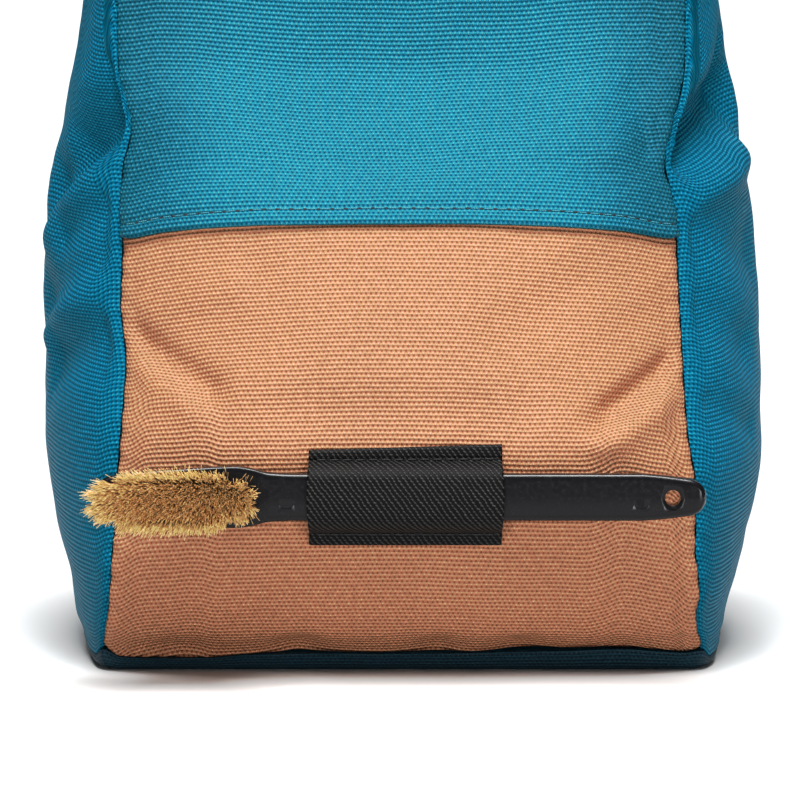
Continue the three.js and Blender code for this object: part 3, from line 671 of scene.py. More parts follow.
class Knots:
    """Short way to lay out the nodes of one material."""

    def __init__(self, name: str) -> None:
        """Start an empty node material.

        Args:
            name: Name of the finish.
        """
        self.material = bpy.data.materials.new(name)
        self.material.use_nodes = True
        self.tree = self.material.node_tree
        self.tree.nodes.clear()
        self.shader = self.tree.nodes.new("ShaderNodeBsdfPrincipled")
        output = self.tree.nodes.new("ShaderNodeOutputMaterial")
        self.tree.links.new(self.shader.outputs[0], output.inputs[0])

    def link(self, source: object, target: object) -> None:
        """Join a socket to a socket, or set a plain value on it.

        Args:
            source: Output socket, number or tuple.
            target: Input socket.
        """
        if isinstance(source, bpy.types.NodeSocket):
            self.tree.links.new(source, target)
        else:
            target.default_value = source

    def math(self, operation: str, first: object, second: object = 0.0) -> object:
        """Do one sum on two values."""
        node = self.tree.nodes.new("ShaderNodeMath")
        node.operation = operation
        self.link(first, node.inputs[0])
        self.link(second, node.inputs[1])
        return node.outputs[0]

    def scale(self, colour: object, factor: object) -> object:
        """Brighten or darken a colour."""
        node = self.tree.nodes.new("ShaderNodeVectorMath")
        node.operation = "SCALE"
        self.link(colour, node.inputs[0])
        self.link(factor, node.inputs["Scale"])
        return node.outputs[0]

    def attribute(self, name: str, output: str) -> object:
        """A value kept on the piece's own mesh."""
        node = self.tree.nodes.new("ShaderNodeAttribute")
        node.attribute_name = name
        return node.outputs[output]

    def threads(self) -> object:
        """Thread lengths of the cloth, in millimetres."""
        node = self.tree.nodes.new("ShaderNodeUVMap")
        node.uv_map = "threads"
        return node.outputs[0]

    def place(self) -> object:
        """Object coordinates, in metres."""
        return self.tree.nodes.new("ShaderNodeTexCoord").outputs["Object"]

    def split(self, vector: object) -> list[object]:
        """The three parts of a vector."""
        node = self.tree.nodes.new("ShaderNodeSeparateXYZ")
        self.link(vector, node.inputs[0])
        return list(node.outputs)

    def noise(self, vector: object, scale: float, detail: float = 2.0) -> object:
        """Uneven values around 0.5."""
        node = self.tree.nodes.new("ShaderNodeTexNoise")
        self.link(vector, node.inputs["Vector"])
        node.inputs["Scale"].default_value = scale
        node.inputs["Detail"].default_value = detail
        return node.outputs[0]

    def ramp(self, value: object, low: float, high: float, start: float, end: float) -> object:
        """Map a range of values smoothly to another one."""
        node = self.tree.nodes.new("ShaderNodeMapRange")
        node.interpolation_type = "SMOOTHSTEP"
        for socket, number in zip(node.inputs[1:5], (low, high, start, end)):
            socket.default_value = number
        self.link(value, node.inputs[0])
        return node.outputs[0]

    def blend(self, share: object, first: object, second: object) -> object:
        """Mix two colours."""
        node = self.tree.nodes.new("ShaderNodeMix")
        node.data_type = "RGBA"
        self.link(share, node.inputs[0])
        self.link(first, node.inputs[6])
        self.link(second, node.inputs[7])
        return node.outputs[2]

    def raise_by(self, height: object, depth: float) -> None:
        """Bump the shader's surface by a height.

        Args:
            height: Heights from 0 to 1.
            depth: Depth of a full step, in metres.
        """
        node = self.tree.nodes.new("ShaderNodeBump")
        node.inputs["Distance"].default_value = depth
        node.inputs["Strength"].default_value = 1.0
        self.link(height, node.inputs["Height"])
        self.link(node.outputs[0], self.shader.inputs["Normal"])

    def set(self, **values: object) -> None:
        """Set or link the shader's sockets by name, with _ for a space."""
        for name, value in values.items():
            self.link(value, self.shader.inputs[name.replace("_", " ")])


def srgb(red: float, green: float, blue: float) -> tuple[float, float, float, float]:
    """Linear colour of an sRGB colour given from 0 to 255."""
    linear = [
        part / 12.92 if part <= 0.04045 else ((part + 0.055) / 1.055) ** 2.4
        for part in (red / 255, green / 255, blue / 255)
    ]
    return (*linear, 1.0)


@dataclass(frozen=True)
class Finish:
    """A named finish and its slot, laid out in nodes by its own kind."""

    name: str
    slot: str

    def make(self) -> Material:
        """Make the finish as a new material."""
        knots = Knots(self.name)
        self.lay_out(knots)
        return knots.material

    def lay_out(self, knots: Knots) -> None:
        """Lay out the nodes; each kind of finish has its own."""
        raise NotImplementedError


@dataclass(frozen=True)
class PlainWeave(Finish):
    """Coarse plain weave: rows of crowns, each row half a step from the next. Its colour holds
    painted light: a painted highlight on the tops of the beads, and painted shade in the pits under
    them and in the furrows between rows.
    """

    # Thread crown colour, a darker hollow colour that paints shade in the pits and furrows, and a
    # pale glint colour that paints a highlight on the beads.
    crown: Colour
    shadowed_hollow: Colour
    glint: Colour
    crown_pitch: float = 1.31
    row_pitch: float = 1.296
    furrow: float = 0.5
    pit: float = 0.5
    bead: float = 0.9
    depth: float = 0.0004
    sheen: Colour = (255, 255, 255)
    roughness: float = 0.5
    gloss: float = 0.22
    # Painted shade near the seams: how much darker, and how far it reaches in millimetres.
    painted_seam_shade: float = 0.0
    painted_seam_reach: float = 38.0

    def lay_out(self, knots: Knots) -> None:
        """Lay out the nodes."""
        threads = knots.threads()
        wander = knots.noise(threads, 0.11, 1.0)
        drift = knots.math("MULTIPLY", knots.math("SUBTRACT", wander, 0.5), 0.7)
        across, along, _ = knots.split(threads)
        across = knots.math("ADD", across, drift)
        along = knots.math("ADD", along, knots.math("MULTIPLY", drift, 0.5))
        turn = knots.math("MULTIPLY", along, math.pi / self.row_pitch)
        rise = knots.math("COSINE", turn)
        step = knots.math("COSINE", knots.math("MULTIPLY", across, 2 * math.pi / self.crown_pitch))
        furrow = knots.math("POWER", knots.math("ABSOLUTE", rise), 2.0)
        pit = knots.ramp(knots.math("MULTIPLY", rise, step), 0.1, 1.0, 0.0, 1.0)
        lift = knots.math("MULTIPLY", knots.math("SINE", turn), step)
        bead = knots.ramp(lift, 0.15, 1.0, 0.0, 1.0)
        grain = knots.noise(threads, 1.9, 3.0)
        tone = knots.noise(threads, 0.55, 2.0)
        patch = knots.noise(threads, 0.035, 2.0)
        # Painted shade: the furrows between rows and the pits just under each bead take the darker
        # hollow colour.
        deep = knots.math("MULTIPLY", furrow, self.furrow)
        deep = knots.math("ADD", deep, knots.math("MULTIPLY", pit, self.pit))
        colour = knots.blend(deep, srgb(*self.crown), srgb(*self.shadowed_hollow))
        # Painted highlight: the tops of the beads take the pale glint colour, as if lit from above.
        lit = knots.math("MULTIPLY", bead, knots.ramp(tone, 0.3, 0.7, self.bead * 0.5, self.bead))
        colour = knots.blend(lit, colour, srgb(*self.glint))
        deep = knots.math("SUBTRACT", deep, knots.math("MULTIPLY", bead, 0.5))
        shade = knots.math("ADD", knots.ramp(tone, 0.25, 0.75, -0.08, 0.08), 1.0)
        shade = knots.math("ADD", shade, knots.ramp(patch, 0.3, 0.7, -0.03, 0.03))
        shade = knots.math("ADD", shade, knots.ramp(grain, 0.3, 0.7, -0.07, 0.07))
        # Painted shade: the cloth is darkened near its seams, fading out within the reach.
        if self.painted_seam_shade:
            seam = knots.attribute("from_seam", "Fac")
            near = knots.ramp(seam, 0.0, self.painted_seam_reach, self.painted_seam_shade, 0.0)
            shade = knots.math("SUBTRACT", shade, near)
        scaled = knots.scale(colour, shade)
        fibres = knots.math("MULTIPLY", grain, 0.16)
        knots.raise_by(knots.math("SUBTRACT", fibres, deep), self.depth)
        knots.set(Base_Color=scaled, Roughness=self.roughness, Specular_IOR_Level=self.gloss)
        knots.set(Specular_Tint=srgb(*self.sheen))


@dataclass(frozen=True)
class TwillElastic(Finish):
    """Black elastic whose ribs run down to the right."""

    name: str = "black_twill_elastic"
    slot: str = "black_elastic"
    light: Colour = (82, 81, 80)
    dark: Colour = (3, 3, 3)
    rib_pitch: float = 1.57
    cord_pitch: float = 0.82
    lean: float = 0.72

    def lay_out(self, knots: Knots) -> None:
        """Lay out the nodes."""
        threads = knots.threads()
        across, along, _ = knots.split(threads)
        wander = knots.noise(threads, 0.3, 2.0)
        across = knots.math("ADD", across, knots.ramp(wander, 0.2, 0.8, -0.3, 0.3))
        slant = knots.math("ADD", across, knots.math("MULTIPLY", along, self.lean))
        rib = knots.math("COSINE", knots.math("MULTIPLY", slant, 2 * math.pi / self.rib_pitch))
        cord = knots.math("COSINE", knots.math("MULTIPLY", along, 2 * math.pi / self.cord_pitch))
        body = knots.math("ADD", rib, knots.math("MULTIPLY", cord, 0.45))
        crown = knots.ramp(body, -0.1, 1.4, 0.0, 1.0)
        grain = knots.noise(threads, 2.4, 3.0)
        lit = knots.math("MULTIPLY", crown, knots.ramp(grain, 0.2, 0.7, 0.3, 1.0))
        colour = knots.blend(lit, srgb(*self.dark), srgb(*self.light))
        fibres = knots.math("MULTIPLY", grain, 0.2)
        knots.raise_by(knots.math("ADD", knots.math("MULTIPLY", crown, 0.8), fibres), 0.0003)
        knots.set(Base_Color=colour, Roughness=0.6, Specular_IOR_Level=0.2)


@dataclass(frozen=True)
class GlossPlastic(Finish):
    """Moulded black plastic with faint unevenness and handling wear."""

    name: str = "black_gloss_plastic"
    slot: str = "black_plastic"
    tone: Colour = (26, 26, 29)

    def lay_out(self, knots: Knots) -> None:
        """Lay out the nodes."""
        place = knots.place()
        cloud = knots.noise(place, 60.0, 2.0)
        speck = knots.noise(place, 900.0, 3.0)
        colour = knots.blend(cloud, srgb(*(part * 0.8 for part in self.tone)), srgb(*self.tone))
        knots.raise_by(knots.math("ADD", cloud, knots.math("MULTIPLY", speck, 0.08)), 0.00004)
        roughness = knots.ramp(speck, 0.3, 0.8, 0.2, 0.3)
        knots.set(Base_Color=colour, Roughness=roughness, Specular_IOR_Level=0.3)


@dataclass(frozen=True)
class BoarBristle(Finish):
    """Natural bristle, dark at the root and pale at the split tip."""

    name: str = "boar_bristle"
    slot: str = "boar_bristle"
    root: Colour = (64, 36, 20)
    middle: Colour = (198, 142, 86)
    tip: Colour = (255, 228, 170)

    def lay_out(self, knots: Knots) -> None:
        """Lay out the nodes."""
        tone, along, _ = knots.split(knots.attribute("strand", "Vector"))
        body = knots.ramp(along, 0.5, 0.98, 0.0, 1.0)
        low = knots.blend(body, srgb(*self.root), srgb(*self.middle))
        pale = knots.blend(knots.ramp(along, 0.5, 0.95, 0.0, 1.0), low, srgb(*self.tip))
        colour = knots.blend(knots.ramp(tone, 0.15, 0.85, 0.0, 1.0), low, pale)
        knots.set(Base_Color=colour, Roughness=0.5, Specular_IOR_Level=0.35)


@dataclass(frozen=True)
class SewingThread(Finish):
    """Twisted sewing thread; its twist is in radians a metre."""

    tone: Colour
    twist: float = 9000.0

    def lay_out(self, knots: Knots) -> None:
        """Lay out the nodes."""
        left, _, up = knots.split(knots.place())
        twist = knots.math("SINE", knots.math("MULTIPLY", knots.math("ADD", left, up), self.twist))
        lift = knots.ramp(twist, -1.0, 1.0, 0.0, 1.0)
        colour = knots.blend(lift, srgb(*(part * 0.72 for part in self.tone)), srgb(*self.tone))
        knots.raise_by(lift, 0.00008)
        knots.set(Base_Color=colour, Roughness=0.6, Sheen_Weight=0.1)


@dataclass(frozen=True)
class StudioFloor(Finish):
    """Plain white sweep."""

    name: str = "studio_floor"
    slot: str = "studio"
    tone: Colour = (208, 208, 208)

    def lay_out(self, knots: Knots) -> None:
        """Lay out the nodes."""
        knots.set(Base_Color=srgb(*self.tone), Roughness=0.9, Specular_IOR_Level=0.1)


def dress(piece: Piece, finish: Finish, body: str, node: str | None = None) -> None:
    """Give a piece its finish and the body that it rides on, and hide the solid that it stands for.

    Args:
        piece: Mesh object.
        finish: Its finish.
        body: Name of the body.
        node: Name of the solid, if it stands for one.
    """
    if node:
        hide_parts(node)
    piece.data.materials.clear()
    piece.data.materials.append(finish.make())
    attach(piece, body)
    LOG.info("%s: %d faces on %s", piece.name, len(piece.data.polygons), body)


def thread_lengths(outer: np.ndarray, start_row: int = 0) -> np.ndarray:
    """Thread lengths across from the middle column and up from one row."""
    across = run_lengths(outer, 1, outer.shape[1] // 2)
    return np.stack([across, run_lengths(outer, 0, start_row)], -1)


@dataclass
class Panels:
    """The sewn cloth panels of the bag and its base."""

    form: BagForm
    groove: float = 0.75
    groove_reach: float = 1.3
    pucker: float = 0.22
    pucker_pitch: float = 7.5
    slack: float = 0.22
    stitch_row: float = 3.4
    stitch_sink: float = 0.25
    hem_roll: float = 0.3
    dent_up: float = 2.5
    dent_reach: float = 4.5
    ring_ease: float = 5.0
    ring_wave: float = 0.25
    floor_shrink: float = 0.9
    binding_rows: int = 90
    binding_ends: float = 4.0
    binding_front: float = 0.035
    binding_side: float = 1.3
    binding_depths: tuple[float, float] = (1.25, 1.95)
    # Each weave gives its crown colour, its hollow colour (painted shade) and its glint (painted
    # highlight).
    teal: PlainWeave = PlainWeave(
        "teal_weave", "teal_cloth", (30, 128, 150), (0, 66, 93), (98, 168, 178),
        # Painted shade near the seams.
        sheen=(160, 232, 255), painted_seam_shade=0.38,
    )
    # Painted shade: a darker copy of the teal for the side panels, which turn away from the light.
    deep_teal: PlainWeave = PlainWeave(
        "shaded_side_teal_weave", "teal_cloth", (10, 112, 138), (0, 56, 83), (58, 145, 163),
        sheen=(100, 224, 255), gloss=0.08,
    )
    copper: PlainWeave = PlainWeave(
        "copper_weave", "copper_cloth", (193, 139, 107), (135, 76, 50), (217, 178, 144),
        # Painted shade near the seams, fainter than on the teal.
        painted_seam_shade=0.1,
    )
    dark: PlainWeave = PlainWeave(
        "dark_teal_weave", "dark_teal_cloth", (26, 62, 76), (14, 32, 40), (40, 80, 92)
    )

    def _sewn(self, grid: np.ndarray, phase: float) -> np.ndarray:
        """Add the drawn-in seams, their puckers and slack to a grid of cloth.

        Args:
            grid: Outer points of a panel.
            phase: Shifts the uneven parts, so that panels differ.

        Returns:
            The changed points.
        """
        outward = outward_of(grid)
        across = run_lengths(grid, 1, 0)
        up = run_lengths(grid, 0, 0)
        from_end = across[:, -1:] - across
        push = self.slack * soft_lumps(across, up, 34.0, phase)
        push += 0.35 * self.slack * soft_lumps(across, up, 13.0, phase + 1.3)
        push *= smooth_step(0.0, 8.0, np.minimum(across, from_end))
        wave = np.sin(2 * np.pi * up / self.pucker_pitch + 1.7 * np.sin(up / 11.0 + phase))
        for distance in (across, from_end):
            push -= self.groove * np.exp(-((distance / self.groove_reach) ** 2))
            push += self.pucker * wave * np.exp(-distance / 4.5)
        return grid + outward * push[..., None]

    def _panel(
        self, names: tuple[str, str, str], weave: PlainWeave, outer: np.ndarray,
        height: np.ndarray, start_row: int = 0, round_low: bool = False,
    ) -> None:
        """Make a panel's cloth from its outer points.

        Args:
            names: The piece, the solid that it stands for and the piece that holds it.
            weave: Its finish.
            outer: Grid of its outer points.
            height: Height of each point, which sets the wall.
            start_row: Row from which the threads are counted.
            round_low: Whether its foot is a rounded, free edge.
        """
        threads = thread_lengths(outer, start_row)
        shell = ClothShell(outer, self.form.wall_at(height), threads, round_low)
        piece = shell.build(names[0])
        dress(piece, weave, "bag", names[1])

    def front_upper(self) -> tuple[np.ndarray, np.ndarray]:
        """Build the upper front panel, whose hem laps over the lower one.

        Returns:
            Points and outward directions along the line where its hem is sewn.
        """
        form = self.form
        across, share = np.meshgrid(gathered(150, 0.55), gathered(104, 0.3))
        hem = form.hem(across)
        height = form.rising(hem, share)
        above = height - hem
        lapped = 1 - smooth_step(form.hem_lap, form.hem_lap + form.hem_fade, above)
        roll = self.hem_roll * np.exp(-(((above - 1.2) / 1.3) ** 2))
        sink = self.stitch_sink * np.exp(-(((above - self.stitch_row) / 0.7) ** 2))
        plain = form.front(across, height)
        stand = (form.wall + form.gap) * lapped + roll - sink
        outer = self._sewn(plain + outward_of(plain) * stand[..., None], 0.4)
        names = ("upper_front_cloth", "front_upper_panel", "lower_front_cloth")
        self._panel(names, self.teal, outer, height, round_low=True)
        return level_line(outer, above, self.stitch_row)

    def front_lower(self) -> None:
        """Build the lower front panel."""
        form = self.form
        across, share = np.meshgrid(gathered(150, 0.55), gathered(140, 0.2))
        foot = form.front_foot(across) + form.gap
        height = foot + (form.hem(across) + form.hem_lap - foot) * share
        outer = form.front(across, height)
        x = outer[..., 0]
        up = run_lengths(outer, 0, 0)
        draw = self.groove * np.exp(-((up / self.groove_reach) ** 2))
        draw += 0.3 * np.sin(x / 5.3 + 1.2 * np.sin(x / 17.0)) * np.exp(-up / 6.0)
        off_up = ((up - self.dent_up) / self.dent_reach) ** 2
        for place, width, depth in LOW_DENTS:
            draw += depth * np.exp(-(((x - place) / width) ** 2) - off_up)
        outer = self._sewn(outer - outward_of(outer) * draw[..., None], 2.2)
        names = ("lower_front_cloth", "front_lower_panel", "base_cloth")
        self._panel(names, self.copper, outer, height, start_row=len(outer) - 1)

    def flank(self, side: Side) -> None:
        """Build one side panel, rolled round to its seams."""
        form = self.form
        shares = gathered(130, 1.0)
        away = shares if side is Side.RIGHT else 1 - shares
        away, share = np.meshgrid(away, gathered(150, 0.2))
        foot = form.flank_foot(side, away) + form.gap
        height = form.rising(foot, share)
        outer = self._sewn(form.flank(side, away, height), 3.1 + side.value)
        name = f"{side.name.lower()}_side"
        # The side panels take the darker teal copy, painted shade.
        self._panel((f"{name}_cloth", f"{name}_panel", "base_cloth"), self.deep_teal, outer, height)

    def back(self) -> None:
        """Build the back panel."""
        form = self.form
        across, share = np.meshgrid(gathered(120, 0.55), gathered(130, 0.2))
        foot = BASE_SEAM_BACK * form.base_rise + form.gap
        height = form.rising(foot, share)
        outer = self._sewn(form.back(across, height), 5.2)
        self._panel(("back_cloth", "back_panel", "base_cloth"), self.teal, outer, height)

    def _base_outline(self) -> tuple[np.ndarray, np.ndarray]:
        """Outline of the base seam, once round, and its height at each point."""
        form = self.form
        across = gathered(80, 0.55)[:-1]
        away = gathered(64, 0.8)[:-1]
        seams = [
            form.front_foot(across),
            form.flank_foot(Side.RIGHT, away),
            np.full(len(across), BASE_SEAM_BACK * form.base_rise),
            form.flank_foot(Side.LEFT, 1 - away),
        ]
        points = [
            form.front(across, seams[0]),
            form.flank(Side.RIGHT, away, seams[1]),
            form.back(across, seams[2]),
            form.flank(Side.LEFT, 1 - away, seams[3]),
        ]
        return np.concatenate(points), np.concatenate(seams)

    def base(self) -> None:
        """Build the base: flat underneath, rounded up to its seam, with a thin floor."""
        form = self.form
        outline, seam = self._base_outline()
        count = len(outline)
        run = np.roll(outline, -1, axis=0) - np.roll(outline, 1, axis=0)
        run = run[:, :2] / np.linalg.norm(run[:, :2], axis=1, keepdims=True)
        inward = np.stack([-run[:, 1], run[:, 0]], -1)
        girth = np.concatenate([[0.0], np.cumsum(np.linalg.norm(np.diff(outline, axis=0), axis=1))])
        whole = girth[-1] + float(np.linalg.norm(outline[0] - outline[-1]))
        apart = np.abs(girth[:, None] - girth[None, :])
        apart = np.minimum(apart, whole - apart)
        spacing = (np.roll(girth, -1) - np.roll(girth, 1)) % whole

        def eased(flat: np.ndarray, ease: float) -> np.ndarray:
            """Round off the corners of a ring."""
            weights = np.exp(-((apart / ease) ** 2)) * spacing[None, :]
            return weights @ flat / weights.sum(axis=1, keepdims=True)

        rings = []
        for share, depth, level in BASE_PROFILE:
            depth = share * form.base_inset + depth
            wave = self.ring_wave * np.sin(outline[:, 0] / 4.1 + outline[:, 1] / 5.7)
            flat = outline[:, :2] + inward * (depth + wave * (0.2 < level < 0.9))[:, None]
            if level < 0.95:
                flat = eased(flat, 0.4 + self.ring_ease * (1 - level) ** 1.5)
            rings.append(np.column_stack([flat, seam * level]))
        for depth, level, ease in ((0.6, 0.6, 1.2), (form.base_inset, 0.0, 7.0)):
            flat = eased(outline[:, :2] + inward * (depth + form.wall), ease)
            rise = form.base_floor + (seam - form.base_floor) * level
            rings.append(np.column_stack([flat, rise]))
        rings.append(rings[-1] * (self.floor_shrink, self.floor_shrink, 1.0))
        points = np.concatenate([*rings, [[0, 0, 0.0], [0, 0, form.base_floor]]])
        faces = quad_faces(len(rings), count, loop_columns=True)
        last = (len(rings) - 1) * count
        for index in range(count):
            after = (index + 1) % count
            faces.append((len(points) - 2, after, index))
            faces.append((len(points) - 1, last + index, last + after))
        piece = make_object("base_cloth", points, faces)
        steps = [float(np.linalg.norm(high[0] - low[0])) for low, high in zip(rings, rings[1:])]
        threads = np.zeros((len(points), 2))
        threads[:-2, 0] = np.tile(girth, len(rings))
        threads[:-2, 1] = np.repeat(np.cumsum([0.0, *steps]), count)
        flat = (points[:, 2] < 0.02) | (np.arange(len(points)) >= count * (len(rings) - 2))
        threads[flat] = points[flat][:, :2]
        write_threads(piece, threads)
        dress(piece, self.dark, "bag", "base_panel")

    def bindings(self) -> None:
        """Build the narrow bindings that cover the seams on the inside."""
        form = self.form
        count = self.binding_rows
        low, high = form.base_rise + self.binding_ends, form.height - self.binding_ends
        heights = np.linspace(low, high, count)
        off = np.array([[self.binding_front], [0.0]])
        strips = []
        faces: list[tuple[int, ...]] = []
        for side in Side:
            for outer in (form.front, form.back):
                at_front = outer == form.front
                share = off if at_front == (side is Side.LEFT) else 1 - off
                panel = outer(share, heights[None, :])
                away = off * self.binding_side
                away = away if at_front else 1 - away
                flank = form.flank(side, away, heights[None, :])
                centre = np.zeros_like(panel[1])
                centre[:, 2] = heights
                corners = []
                for depth in self.binding_depths:
                    for edge in (panel[0], panel[1], flank[0]):
                        toward = centre - edge
                        toward = toward / np.linalg.norm(toward, axis=1, keepdims=True)
                        corners.append(edge + toward * (depth * form.wall_at(heights))[:, None])
                start = sum(len(strip) for strip in strips)
                strips.append(np.stack([*corners[:3], *corners[:2:-1]], axis=1).reshape(-1, 3))
                faces += quad_faces(count, 6, loop_columns=True, start=start)
                for row, turn in ((0, -1), (count - 1, 1)):
                    ring = [start + row * 6 + corner for corner in range(6)][::turn]
                    faces += [(*ring[:2], *ring[4:]), tuple(ring[1:5])]
        points = np.concatenate(strips)
        piece = make_object("seam_bindings", points, faces, smooth=False)
        mend_normals(piece)
        write_threads(piece, points[:, [0, 2]])
        dress(piece, self.dark, "bag")


def mend_normals(piece: Piece) -> None:
    """Turn every face of a closed piece outwards."""
    deselect_all()
    piece.select_set(True)
    bpy.context.view_layer.objects.active = piece
    bpy.ops.object.mode_set(mode="EDIT")
    bpy.ops.mesh.select_all(action="SELECT")
    bpy.ops.mesh.normals_make_consistent(inside=False)
    bpy.ops.object.mode_set(mode="OBJECT")


def level_line(
    grid: np.ndarray, levels: np.ndarray, target: float
) -> tuple[np.ndarray, np.ndarray]:
    """Line across a grid of cloth where a rising level reaches a target.

    Args:
        grid: Outer points of the cloth.
        levels: A level for each point, rising with the rows.
        target: The level to follow.

    Returns:
        Points and outward directions along the line.
    """
    outward = outward_of(grid)
    line, out = (
        np.array([
            [np.interp(target, levels[:, column], values[:, column, part]) for part in range(3)]
            for column in range(grid.shape[1])
        ])
        for values in (grid, outward)
    )
    return line, out


def places_along(
    line: np.ndarray, outward: np.ndarray, pitch: float, margin: float, shift: float = 0.0
) -> list[tuple[np.ndarray, np.ndarray, np.ndarray]]:
    """Even places along a line of cloth.

    Args:
        line: Points of the line.
        outward: Outward directions along it.
        pitch: Distance between places.
        margin: Length left free at both ends.
        shift: Share of a pitch by which the places are moved on.

    Returns:
        The point, the outward and the lengthwise direction of each place.
    """
    run = np.concatenate([[0.0], np.cumsum(np.linalg.norm(np.diff(line, axis=0), axis=1))])
    count = int((run[-1] - 2 * margin) / pitch)
    start = (run[-1] - count * pitch) / 2
    places = []
    for index in range(count):
        at = start + (index + 0.5 + shift) * pitch
        middle, before, after, out = (
            np.array([np.interp(where, run, values[:, part]) for part in range(3)])
            for where, values in ((at, line), (at - 0.8, line), (at + 0.8, line), (at, outward))
        )
        along = (after - before) / np.linalg.norm(after - before)
        out = out - along * float(out @ along)
        places.append((middle, out / np.linalg.norm(out), along))
    return places


@dataclass(frozen=True)
class Stitching:
    """One kind of topstitching; sizes are length, half width and half height of a bead. Dark beads
    between the stitches are painted shadow for the needle holes.
    """

    pitch: float
    margin: float
    stitch: tuple[float, float, float]
    hole: tuple[float, float, float]
    thread_tone: Colour
    hole_shadow_tone: Colour
    stitch_stand: float = 0.1
    hole_stand: float = 0.02

    def _bead(self, length: float, radius: float, flat: float) -> tuple[np.ndarray, list[tuple]]:
        """Model one bead along X.

        Args:
            length: Its length.
            radius: Its half width.
            flat: Its half height.

        Returns:
            Its points in millimetres and its faces.
        """
        deselect_all()
        bpy.ops.mesh.primitive_uv_sphere_add(segments=8, ring_count=6, radius=1.0)
        bead = bpy.context.object
        points = np.array([vertex.co[:] for vertex in bead.data.vertices])[:, [2, 0, 1]]
        faces = [tuple(polygon.vertices) for polygon in bead.data.polygons]
        bpy.data.objects.remove(bead, do_unlink=True)
        points[:, 0] = np.sign(points[:, 0]) * np.abs(points[:, 0]) ** 0.7
        return points * (length / 2, radius, flat), faces

    def _beads(
        self, name: str, places: Sequence[tuple[np.ndarray, ...]],
        size: tuple[float, float, float], stand: float, finish: Finish,
    ) -> None:
        """Lay copies of a bead at a list of places.

        Args:
            name: Name of the piece.
            places: Middle, outward and lengthwise direction of each bead.
            size: Length, half width and half height of the bead.
            stand: Distance of its middle off the cloth.
            finish: Its finish.
        """
        points, bead_faces = self._bead(*size)
        blocks = []
        faces: list[tuple[int, ...]] = []
        for index, (middle, outward, along) in enumerate(places):
            up = np.cross(outward, along)
            turned = points[:, :1] * along + points[:, 1:2] * up + points[:, 2:3] * outward
            blocks.append(turned + middle + outward * stand)
            faces += [tuple(c + index * len(points) for c in face) for face in bead_faces]
        dress(make_object(name, np.concatenate(blocks), faces), finish, "bag")

    def sew(
        self, names: tuple[str, str], finishes: tuple[str, str], line: tuple[np.ndarray, np.ndarray]
    ) -> None:
        """Sew one row: its stitches, and between them dark beads painted as the shadow in the
        needle holes.

        Args:
            names: The piece of thread and the piece of painted hole shadows.
            finishes: Names of their finishes.
            line: Points and outward directions along the row.
        """
        thread = SewingThread(finishes[0], "thread", self.thread_tone)
        # Painted shadow: dark beads where the needle holes are, standing for the shade inside them.
        hole = SewingThread(finishes[1], "needle_hole", self.hole_shadow_tone)
        stitches = places_along(*line, self.pitch, self.margin)
        between = places_along(*line, self.pitch, self.margin, 0.5)
        self._beads(names[0], stitches, self.stitch, self.stitch_stand, thread)
        self._beads(names[1], between, self.hole, self.hole_stand, hole)


# Each row's last colour is painted shadow for its needle holes.
HEM_STITCHING = Stitching(3.74, 1.5, (2.7, 0.2, 0.2), (1.1, 0.36, 0.1), (64, 150, 168), (4, 26, 36))
SLEEVE_STITCHING = Stitching(3.48, 0.8, (2.5, 0.24, 0.2), (1.0, 0.36, 0.1), (46, 46, 48), (6, 6, 7))


